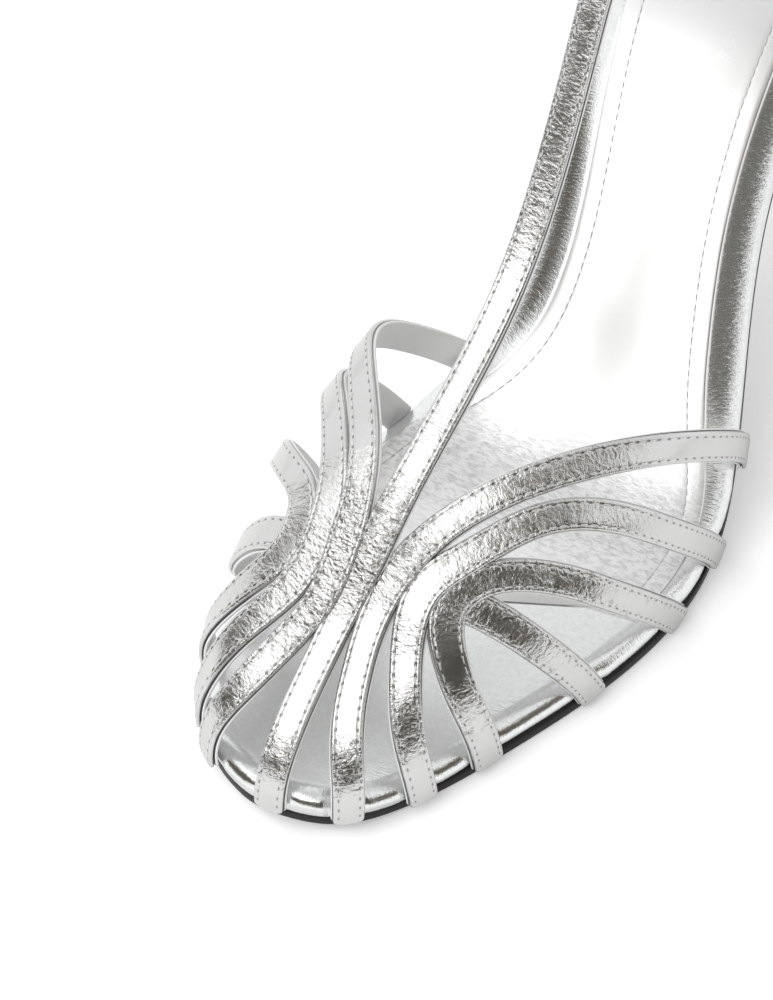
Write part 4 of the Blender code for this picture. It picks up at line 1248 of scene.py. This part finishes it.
def ankle_plan(turn, outward):
    """Return a point on the ankle strap's oval in plan, moved outward, and the way out of it."""
    radius = np.array((ANKLE_HALF_WIDTH, ANKLE_HALF_LENGTH))
    swing = np.stack((np.sin(turn), np.cos(turn)), axis=-1)
    out = unit(swing / radius)
    middle = np.array((0.0, ANKLE_MIDDLE - TREAD_MIDDLE))
    return middle + swing * radius + out * np.asarray(outward)[..., None], out


def rounded(gap, radius, least):
    """Return the share of a thickness that is left at a distance from a rounded end."""
    return np.sqrt(np.clip(1.0 - np.clip(1.0 - gap / radius, 0.0, 1.0) ** 2, least, 1.0))


counter_turns = np.linspace(-1.0, 1.0, COUNTER_COLUMNS)
counter_angles = math.pi - counter_turns * (math.pi - edge_angle(COUNTER_FRONT))
counter_foot = edge_point(counter_angles, STRAP_GAP + COUNTER_WALL / 2.0, COUNTER_FOOT)
counter_inside = -(ANKLE_THICK / 2.0 + 2.0 * STRAP_GAP + COUNTER_WALL / 2.0)
counter_top, _ = ankle_plan(
    np.radians(counter_turns * COUNTER_SPREAD), np.full(COUNTER_COLUMNS, counter_inside))
counter_spread = smooth((1.0 - np.abs(counter_turns)) / COUNTER_EASE)
counter_heights = COUNTER_FRONT_HEIGHT + (COUNTER_BACK_HEIGHT - COUNTER_FRONT_HEIGHT) * counter_spread
sheet = []
for row in np.linspace(0.0, 1.0, COUNTER_ROWS):
    share = row * counter_heights / (ANKLE_HEIGHT - ANKLE_WIDTH - counter_foot[:, 2])
    plan = counter_foot[:, :2] + (counter_top - counter_foot[:, :2]) * smooth(share)[:, None]
    plan = plan + edge_outward(counter_angles) * (
        COUNTER_BULGE * np.sin(math.pi * np.clip(share, 0.0, 1.0)))[:, None]
    sheet.append(np.column_stack((plan, counter_foot[:, 2] + row * counter_heights)))
sheet = np.stack(sheet, axis=1)
sideways = np.gradient(sheet, axis=0)
upward = np.gradient(sheet, axis=1)
counter_out = unit(np.cross(upward, sideways))
counter_out *= np.sign(counter_out[COUNTER_COLUMNS // 2, 0, 1])
thin = rounded(to_end(along_path(sheet[:, 0])), COUNTER_LIP, COUNTER_END_LEAST)
half_wall = (COUNTER_WALL / 2.0 * thin)[:, None, None]
lip_turns = np.linspace(0.0, math.pi, COUNTER_LIP_POINTS)[1:-1]
lip_up = unit(upward[:, -1])
lip_out = counter_out[:, -1]
lip = np.stack([
    sheet[:, -1] + half_wall[:, 0] * (lip_out * math.cos(turn) + lip_up * math.sin(turn))
    for turn in lip_turns
], axis=1)
outer_face, inner_face = (sheet + counter_out * half_wall * side for side in (1.0, -1.0))
counter_rings = np.concatenate((outer_face, lip, inner_face[:, ::-1]), axis=1)
rise_along = np.linalg.norm(np.diff(sheet, axis=1), axis=2)
from_foot = np.concatenate((np.zeros((COUNTER_COLUMNS, 1)), np.cumsum(rise_along, axis=1)), axis=1)
from_top = from_foot[:, -1:] - from_foot
seam_walk = along_path(sheet[:, -1])
seam_count = int(round(seam_walk[-1] / STITCH_PITCH))
stitches = np.repeat((seam_walk * seam_count / seam_walk[-1])[:, None], counter_rings.shape[1], axis=1)
inside = np.concatenate(
    (from_top, np.zeros((COUNTER_COLUMNS, len(lip_turns))), from_top[:, ::-1]), axis=1)
counter_leather, tree, shader, _ = silver_foil("smooth_counter_foil", *COUNTER_FOIL)
pierce(tree, shader, COUNTER_SEAM_IN)
back_counter = make_piece(
    "back_counter", counter_rings.reshape(-1, 3), loft(counter_rings), counter_leather,
    places={"seam_place": np.column_stack((stitches.ravel(), inside.ravel(), 0.0 * inside.ravel()))})
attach(back_counter, "root")
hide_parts("heel_counter")
seam_line = np.array([
    between(lengths[-1] - COUNTER_SEAM_IN, lengths, column) for lengths, column in zip(from_foot, sheet)
])
seam_out = counter_out[:, -3]
marks = []
for side in (1.0, -1.0):
    at, ahead, _ = seam_row(seam_line + seam_out * side * (COUNTER_WALL / 2.0 + STITCH_OVER), STITCH_PITCH)
    marks.append((at, ahead, at_stitches(seam_line, len(at), seam_out) * side))
sew("counter_stitches", marks, silver_thread)

# Ankle strap: a narrow folded strap like those of the upper, punched with holes towards its end.
# It runs through the bar's loop, once round the ankle, and is fastened on the outer side.
BUCKLE_ANGLE = 100.0
BUCKLE_LENGTH = 9.0
BUCKLE_WIRE = 0.8
BUCKLE_BAR_CLEAR = 1.0
BUCKLE_RAISE = 2.4
BUCKLE_RAISE_MARGIN = 1.0
ANKLE_OVERLAP = 30.0
ANKLE_TIP_ROUND = 2.6
SLOT_MIDDLE = 4.6
SLOT_OUT = 1.4
SLOT_LENGTH = 5.0
SLOT_HEIGHT = 2.0
SLOT_DEPTH = 8.0
PUNCH_FIRST = 6.0
PUNCH_STEP = 6.0
PUNCH_COUNT = 4
PUNCH_RADIUS = 0.8
PUNCH_DEPTH = 2.6
ANKLE_SAMPLES = 4001
ANKLE_STEPS = 900
TOOL_POINTS = 24
ankle_turns = math.radians(BUCKLE_ANGLE) - np.linspace(0.0, 4.0 * math.pi, ANKLE_SAMPLES)
ankle_lengths = along_path(ankle_plan(ankle_turns, np.zeros(ANKLE_SAMPLES))[0])
ankle_round = ankle_lengths[-1] / 2.0


def ankle_point(walked, outward):
    """Return a point along the strap's oval, from the buckle round the back, and the way out of it."""
    plan, out = ankle_plan(np.interp(walked, ankle_lengths, ankle_turns), np.asarray(outward, float))
    level = np.full(plan.shape[:-1] + (1,), ANKLE_HEIGHT)
    return np.concatenate((plan, level), axis=-1), np.concatenate((out, 0.0 * level), axis=-1)


def round_tool(name, middle, along, out, length, height, depth):
    """Return a cutter with round ends, laid along a strap and through it."""
    radius = height / 2.0
    straight = length / 2.0 - radius
    turns = np.linspace(0.0, 2.0 * math.pi, TOOL_POINTS, endpoint=False)
    upward = np.array((0.0, 0.0, 1.0))
    rings = []
    for side in (-1.0, 1.0):
        rings.append([
            middle + out * (side * depth / 2.0) + upward * radius * math.sin(turn)
            + along * (radius * math.cos(turn) + math.copysign(straight, math.cos(turn)))
            for turn in turns
        ])
    return make_piece(name, np.concatenate(rings), loft(rings), strap_leather)


walked = np.linspace(BUCKLE_WIRE + BUCKLE_BAR_CLEAR, ankle_round + ANKLE_OVERLAP, ANKLE_STEPS)
raised = BUCKLE_RAISE * ease(
    walked - ankle_round, BUCKLE_RAISE_MARGIN - BUCKLE_LENGTH, -BUCKLE_RAISE_MARGIN)
ankle_path, ankle_out = ankle_point(walked, raised)
ankle_line = even_line(ankle_path, ankle_out, np.full(len(walked), ANKLE_WIDTH), STITCH_PITCH)
rings, values = strap_rings(
    ankle_line, ANKLE_THICK, len(straps), np.full(len(ankle_line["at"]), CRINKLE_BASE), ANKLE_TIP_ROUND)
ankle_band = make_piece("ankle_band", rings.reshape(-1, 3), loft(rings), strap_leather, STRAP_SHARP, values)
cuts = [(ankle_round - SLOT_MIDDLE, SLOT_OUT, SLOT_LENGTH, SLOT_HEIGHT, SLOT_DEPTH)]
for hole in range(PUNCH_COUNT):
    place = ankle_round + PUNCH_FIRST + hole * PUNCH_STEP
    cuts.append((place, BUCKLE_RAISE, 2.0 * PUNCH_RADIUS, 2.0 * PUNCH_RADIUS, PUNCH_DEPTH))
tools = []
for number, (place, outward, length, height, depth) in enumerate(cuts):
    middle, out = ankle_point(place, outward)
    tool = round_tool(f"punch_{number}", middle, np.array((-out[1], out[0], 0.0)), out, length, height, depth)
    cut = ankle_band.modifiers.new(tool.name, "BOOLEAN")
    cut.operation = "DIFFERENCE"
    cut.solver = "EXACT"
    cut.object = tool
    tools.append(tool)
apply_modifiers(ankle_band)
for tool in tools:
    bpy.data.objects.remove(tool)
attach(ankle_band, "root")
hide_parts("ankle_strap")
at, along, outward = strap_stitches(ankle_line, ANKLE_THICK)
is_seen = ~is_covered(at, straps["bar"], STRAP_THICK)
marks = [(at[is_seen], along[is_seen], outward[is_seen])]
sew("ankle_stitches", marks, silver_thread)

# Buckle: a small bent-wire frame and its prong, polished and plated.
# The strap's end is drawn through the frame, and the prong stands in the strap's slot.
BUCKLE_CORNER = 1.8
BUCKLE_CORNER_POINTS = 12
BUCKLE_SIDE_CLEAR = 0.5
WIRE_SIDES = 20
PRONG_WIRE = 0.55
PRONG_ROUTE = (
    # distance towards the front from the rear bar, distance out of the strap's middle line
    (1.8, -0.2),
    (3.2, 0.5),
    (5.0, 2.1),
    (7.2, 4.0),
    (8.8, 4.3),
    (10.4, 4.1),
)
PLATED = (0.78, 0.78, 0.775)
PLATED_DEEP = (0.70, 0.70, 0.69)
PLATED_ROUGHNESS = (0.07, 0.14)
PRONG_STEP = 0.25
PRONG_END_LEAST = 0.02
PLATED_NOISE = (700.0, 3.0)


def wire_rings(path, radii, is_open):
    """Sweep a round section along a flat path of points."""
    path = np.array(path)
    if is_open:
        along = unit(np.gradient(path, axis=0))
    else:
        along = unit(np.roll(path, -1, axis=0) - np.roll(path, 1, axis=0))
    plane = unit(np.cross(path[1] - path[0], path[-1] - path[0]))
    across = unit(np.cross(along, plane))
    turns = np.arange(WIRE_SIDES) * 2.0 * math.pi / WIRE_SIDES
    return np.array([
        [point + radius * (math.cos(turn) * side + math.sin(turn) * plane) for turn in turns]
        for point, side, radius in zip(path, across, radii)
    ])


plated, tree, shader = new_material("polished_plating")
cloud = noise(tree, object_place(tree), *PLATED_NOISE)
fill(
    tree, shader, base_color=blend(tree, cloud, PLATED_DEEP, PLATED), metallic=1.0,
    roughness=ramp(tree, cloud, *NOISE_SPAN, *PLATED_ROUGHNESS))
rear, _ = ankle_point(ankle_round, 0.0)
front, _ = ankle_point(ankle_round - BUCKLE_LENGTH, BUCKLE_RAISE)
frame_length = np.linalg.norm(front - rear)
forward = (front - rear) / frame_length
upward = np.array((0.0, 0.0, 1.0))
half_height = ANKLE_WIDTH / 2.0 + BUCKLE_SIDE_CLEAR + BUCKLE_WIRE
frame_path = []
for corner, (a, b) in enumerate(((1, 1), (0, 1), (0, -1), (1, -1))):
    inward = 1 if a == 0 else -1
    hub = rear + forward * (a * frame_length + inward * BUCKLE_CORNER)
    hub = hub + upward * b * (half_height - BUCKLE_CORNER)
    for turn in np.linspace(corner, corner + 1, BUCKLE_CORNER_POINTS) * math.pi / 2.0:
        frame_path.append(hub + BUCKLE_CORNER * (math.cos(turn) * forward + math.sin(turn) * upward))
rings = wire_rings(frame_path, np.full(len(frame_path), BUCKLE_WIRE), False)
buckle_ring = make_piece("buckle_ring", rings.reshape(-1, 3), loft(rings, False), plated)
prong_route = curve_through(PRONG_ROUTE, PRONG_STEP)
prong_path = [ankle_point(ankle_round - ahead, out)[0] for ahead, out in prong_route]
prong_radii = PRONG_WIRE * rounded(to_end(along_path(np.array(prong_path))), PRONG_WIRE, PRONG_END_LEAST)
rings = wire_rings(prong_path, prong_radii, True)
buckle_tongue = make_piece("buckle_tongue", rings.reshape(-1, 3), loft(rings), plated)
for piece, node in ((buckle_ring, "buckle_frame"), (buckle_tongue, "buckle_prong")):
    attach(piece, "root")
    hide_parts(node)

# Heel: a slim moulded heel covered in the same silver leather, drawn tight and closed at the breast.
# It is fixed under the seat, and a black rubber top lift is nailed to its tip.
HEEL_LEVELS = (
    # height at the middle, back and breast from toe, half width, slope of the level
    (4.6, 198.6, 189.4, 4.5, 0.0),
    (18.0, 199.8, 189.7, 5.0, 0.0),
    (36.0, 202.2, 189.0, 6.6, 0.06),
    (52.0, 205.4, 186.4, 10.0, 0.15),
    (64.0, 208.4, 180.6, 15.6, 0.27),
    (72.5, 210.6, 173.6, 20.6, 0.38),
    (78.5, 211.6, 168.6, 23.4, 0.42),
)
HEEL_RINGS = 90
HEEL_WIDEST = 0.42
HEEL_REAR_POINTS = 61
HEEL_BREAST_POINTS = 40
BREAST_SQUARENESS = 0.62
SEAT_BLEND_START = 66.0
SEAT_ABOVE = OUTSOLE_THICK + 0.1
LIFT_SECTION = ((0.0, 0.35), (0.12, 0.12), (0.35, 0.0), (4.2, 0.0), (4.45, 0.1), (4.62, 0.3))
LIFT_BLACK = (0.014, 0.014, 0.015)
LIFT_GREY = (0.03, 0.03, 0.032)
LIFT_NOISE = (2500.0, 2.0)
LIFT_GRAIN = 0.04
LIFT_ROUGHNESS = 0.55
HEEL_FOIL = (0.17, 0.24, 0.012)


def heel_ring(back, breast, half_width):
    """Return one level of the heel in plan: half an ellipse behind, a squarer front."""
    widest = breast + HEEL_WIDEST * (back - breast)
    rear = np.linspace(-math.pi / 2.0, math.pi / 2.0, HEEL_REAR_POINTS)
    front = np.linspace(0.0, math.pi, HEEL_BREAST_POINTS + 2)[1:-1]
    squared = np.sign(np.cos(front)) * np.abs(np.cos(front)) ** BREAST_SQUARENESS
    across = half_width * np.concatenate((np.sin(rear), squared))
    behind = widest + (back - widest) * np.cos(rear)
    before = widest - (widest - breast) * np.sin(front) ** BREAST_SQUARENESS
    along = np.concatenate((behind, before))
    return across, along


heel_heights = [row[0] for row in HEEL_LEVELS]
heel_columns = [spline(heel_heights, [row[i] for row in HEEL_LEVELS]) for i in range(1, 5)]
rings = []
for height in np.linspace(heel_heights[0], heel_heights[-1], HEEL_RINGS):
    back, breast, half_width, slope = (float(column(height)) for column in heel_columns)
    across, along = heel_ring(back, breast, half_width)
    level = np.column_stack((across, along - TREAD_MIDDLE, height + slope * (along - (back + breast) / 2.0)))
    seat = sole_point(across, along, SEAT_ABOVE)
    share = float(ease(height, SEAT_BLEND_START, heel_heights[-1]))
    rings.append(level + (seat - level) * share)
heel_leather, *_ = silver_foil("drawn_heel_foil", *HEEL_FOIL)
covered_heel = make_piece("covered_heel", np.concatenate(rings), loft(rings), heel_leather)
rubber, tree, shader = new_material("black_rubber")
speckle = noise(tree, object_place(tree), *LIFT_NOISE)
fill(
    tree, shader, base_color=blend(tree, speckle, LIFT_BLACK, LIFT_GREY), roughness=LIFT_ROUGHNESS,
    normal=emboss(tree, speckle, LIFT_GRAIN, strength=0.5))
back, breast, half_width = HEEL_LEVELS[0][1:4]
rings = []
for height, inset in LIFT_SECTION:
    across, along = heel_ring(back - inset, breast + inset, half_width - inset)
    rings.append(np.column_stack((across, along - TREAD_MIDDLE, 0.0 * across + height)))
heel_tip = make_piece("heel_tip", np.concatenate(rings), loft(rings), rubber)
for piece, node, finish in ((covered_heel, "heel", "silver_leather"), (heel_tip, "top_lift", "top_lift")):
    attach(piece, "root")
    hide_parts(node)

# Stage: a plain white floor under soft light from the front left. The silver reflects darker parts of the
# surround on the outer side, and curved cards round the toe: three dark ones, and a white one above them.
FLOOR_RADIUS = 4.0
FLOOR_WHITE = (0.84, 0.84, 0.84)
FLOOR_LIFT = 0.25
FLOOR_SIDES = 96
MATT = 0.9
WHITE = (1.0, 1.0, 1.0, 1.0)
SURROUND_PALE = (1.03, 1.035, 1.035)
SURROUND_HIGH = (0.70, 0.705, 0.705)
OVERHEAD_RUN = (0.7, 0.98)
SURROUND_SHADES = (
    # azimuth and elevation of the middle, full shade within, none beyond, colour
    (38.0, 42.0, 26.0, 36.0, (0.32, 0.30, 0.275)),
    (66.0, 22.0, 7.0, 14.0, (0.20, 0.195, 0.165)),
    (50.0, 33.0, 15.0, 28.0, (0.085, 0.082, 0.070)),
    (104.0, 37.0, 4.0, 11.0, (0.22, 0.21, 0.185)),
)
SOFTBOX_WAY = (-26.0, 51.0)
SOFTBOX_WIDE = 1.0
SOFTBOX_TALL = 0.94
SOFTBOX_POWER = 8.0
CARD_DARK = (0.10, 0.088, 0.072)
CARD_GLOW = 1.75
CARD_EDGES = {
    # lower edge, then upper edge: radius and height, first and last azimuth
    "dark_card": ((0.14, 0.055, -62.0, 14.0), (0.14, 0.142, -62.0, 14.0)),
    "outer_card": ((0.125, 0.034, 60.0, 101.0), (0.125, 0.10, 60.0, 88.0)),
    "side_card": ((0.30, 0.06, -79.0, -42.0), (0.30, 0.215, -79.0, -42.0)),
    "white_card": ((0.14, 0.146, -78.0, 32.0), (0.065, 0.285, -78.0, -36.0)),
}
CARD_POINTS = 33


def way(azimuth, elevation):
    """Return the direction to a place round the shoe: 0 is in front of the toe, 90 on the outer side."""
    a, e = math.radians(azimuth), math.radians(elevation)
    return Vector((math.sin(a) * math.cos(e), -math.cos(a) * math.cos(e), math.sin(e)))


def curved_card(name, material):
    """Stand a curved card round the toe that is seen in reflections only."""
    corners = []
    for radius, height, *turns in CARD_EDGES[name]:
        spread = np.radians(np.linspace(*turns, CARD_POINTS))
        corners += [(radius * math.sin(turn), -radius * math.cos(turn), height) for turn in spread]
    mesh = bpy.data.meshes.new(name)
    mesh.from_pydata(
        corners, [], [(i, i + 1, i + 1 + CARD_POINTS, i + CARD_POINTS) for i in range(CARD_POINTS - 1)])
    mesh.materials.append(material)
    card = bpy.data.objects.new(name, mesh)
    card.visible_camera = False
    card.visible_shadow = False
    card.visible_diffuse = False
    bpy.context.scene.collection.objects.link(card)


floor_mesh = bpy.data.meshes.new("white_floor")
shape = bmesh.new()
bmesh.ops.create_circle(shape, cap_ends=True, segments=FLOOR_SIDES, radius=FLOOR_RADIUS)
shape.to_mesh(floor_mesh)
shape.free()
floor_paint, tree, shader = new_material("floor_white")
seen = add_node(tree, "ShaderNodeLightPath").outputs["Is Camera Ray"]
fill(
    tree, shader, base_color=(*FLOOR_WHITE, 1.0), roughness=MATT, specular_ior_level=0.0,
    emission_color=WHITE, emission_strength=compute(tree, "MULTIPLY", seen, FLOOR_LIFT))
floor_mesh.materials.append(floor_paint)
floor = bpy.data.objects.new("white_floor", floor_mesh)
bpy.context.scene.collection.objects.link(floor)
card_paint, tree, shader = new_material("card_dark")
fill(tree, shader, base_color=(*CARD_DARK, 1.0), roughness=MATT)
for name in ("dark_card", "side_card", "outer_card"):
    curved_card(name, card_paint)
card_glow, tree, shader = new_material("card_white")
fill(tree, shader, base_color=(0.0, 0.0, 0.0, 1.0), emission_color=WHITE, emission_strength=CARD_GLOW)
curved_card("white_card", card_glow)
world = bpy.data.worlds.new("studio_surround")
world.use_nodes = True
bpy.context.scene.world = world
tree = world.node_tree
direction = add_node(tree, "ShaderNodeTexCoord").outputs["Generated"]
height = split(tree, direction)["Z"]
overhead = ramp(tree, height, *OVERHEAD_RUN, 0.0, 1.0, is_eased=True)
surround = blend(tree, overhead, SURROUND_PALE, SURROUND_HIGH)
for azimuth, elevation, inner, outer, colour in SURROUND_SHADES:
    facing = add_node(
        tree, "ShaderNodeVectorMath", {"operation": "DOT_PRODUCT"}, i0=direction, i1=way(azimuth, elevation))
    apart = compute(tree, "ARCCOSINE", facing.outputs["Value"])
    shade = ramp(tree, apart, math.radians(inner), math.radians(outer), 1.0, 0.0, is_eased=True)
    surround = blend(tree, shade, surround, colour)
fill(tree, tree.nodes["Background"], color=surround)
softbox = bpy.data.lights.new("softbox", "AREA")
softbox.shape = "RECTANGLE"
softbox.size = SOFTBOX_WIDE
softbox.size_y = SOFTBOX_TALL
softbox.energy = SOFTBOX_POWER
lamp = bpy.data.objects.new("softbox", softbox)
lamp.location = way(*SOFTBOX_WAY)
lamp.rotation_mode = "QUATERNION"
lamp.rotation_quaternion = way(*SOFTBOX_WAY).to_track_quat("Z", "Y")
lamp.visible_camera = False
lamp.visible_glossy = False
bpy.context.scene.collection.objects.link(lamp)
bpy.context.scene.view_settings.view_transform = "Standard"

# Camera: a long lens above the outer side of the toe, as in the photograph.
# Its angle, distance and lens are fitted to the sole's outline and the straps.
CAMERA_WAY = (27.588, 53.999)
CAMERA_ROLL = -0.678
CAMERA_AWAY = 0.927
CAMERA_TARGET = (0.0, 0.01324, 0.0103)
CAMERA_SWING = (-0.01754, 0.01660)
CAMERA_LENS = 167.38
CAMERA_SENSOR = 36.0
back = way(*CAMERA_WAY)
level = Vector((math.cos(math.radians(CAMERA_WAY[0])), math.sin(math.radians(CAMERA_WAY[0])), 0.0))
upright = back.cross(level)
roll = math.radians(CAMERA_ROLL)
right = level * math.cos(roll) + upright * math.sin(roll)
up = upright * math.cos(roll) - level * math.sin(roll)
forward = (right * CAMERA_SWING[0] + up * CAMERA_SWING[1] - back).normalized()
right = forward.cross(up).normalized()
up = right.cross(forward)
camera_data = bpy.data.cameras.new("camera")
camera_data.sensor_width = CAMERA_SENSOR
camera_data.lens = CAMERA_LENS
camera = bpy.data.objects.new("camera", camera_data)
camera.matrix_world = Matrix.Translation(Vector(CAMERA_TARGET) + back * CAMERA_AWAY) @ Matrix(
    (right, up, -forward)).transposed().to_4x4()
bpy.context.scene.collection.objects.link(camera)
bpy.context.scene.camera = camera
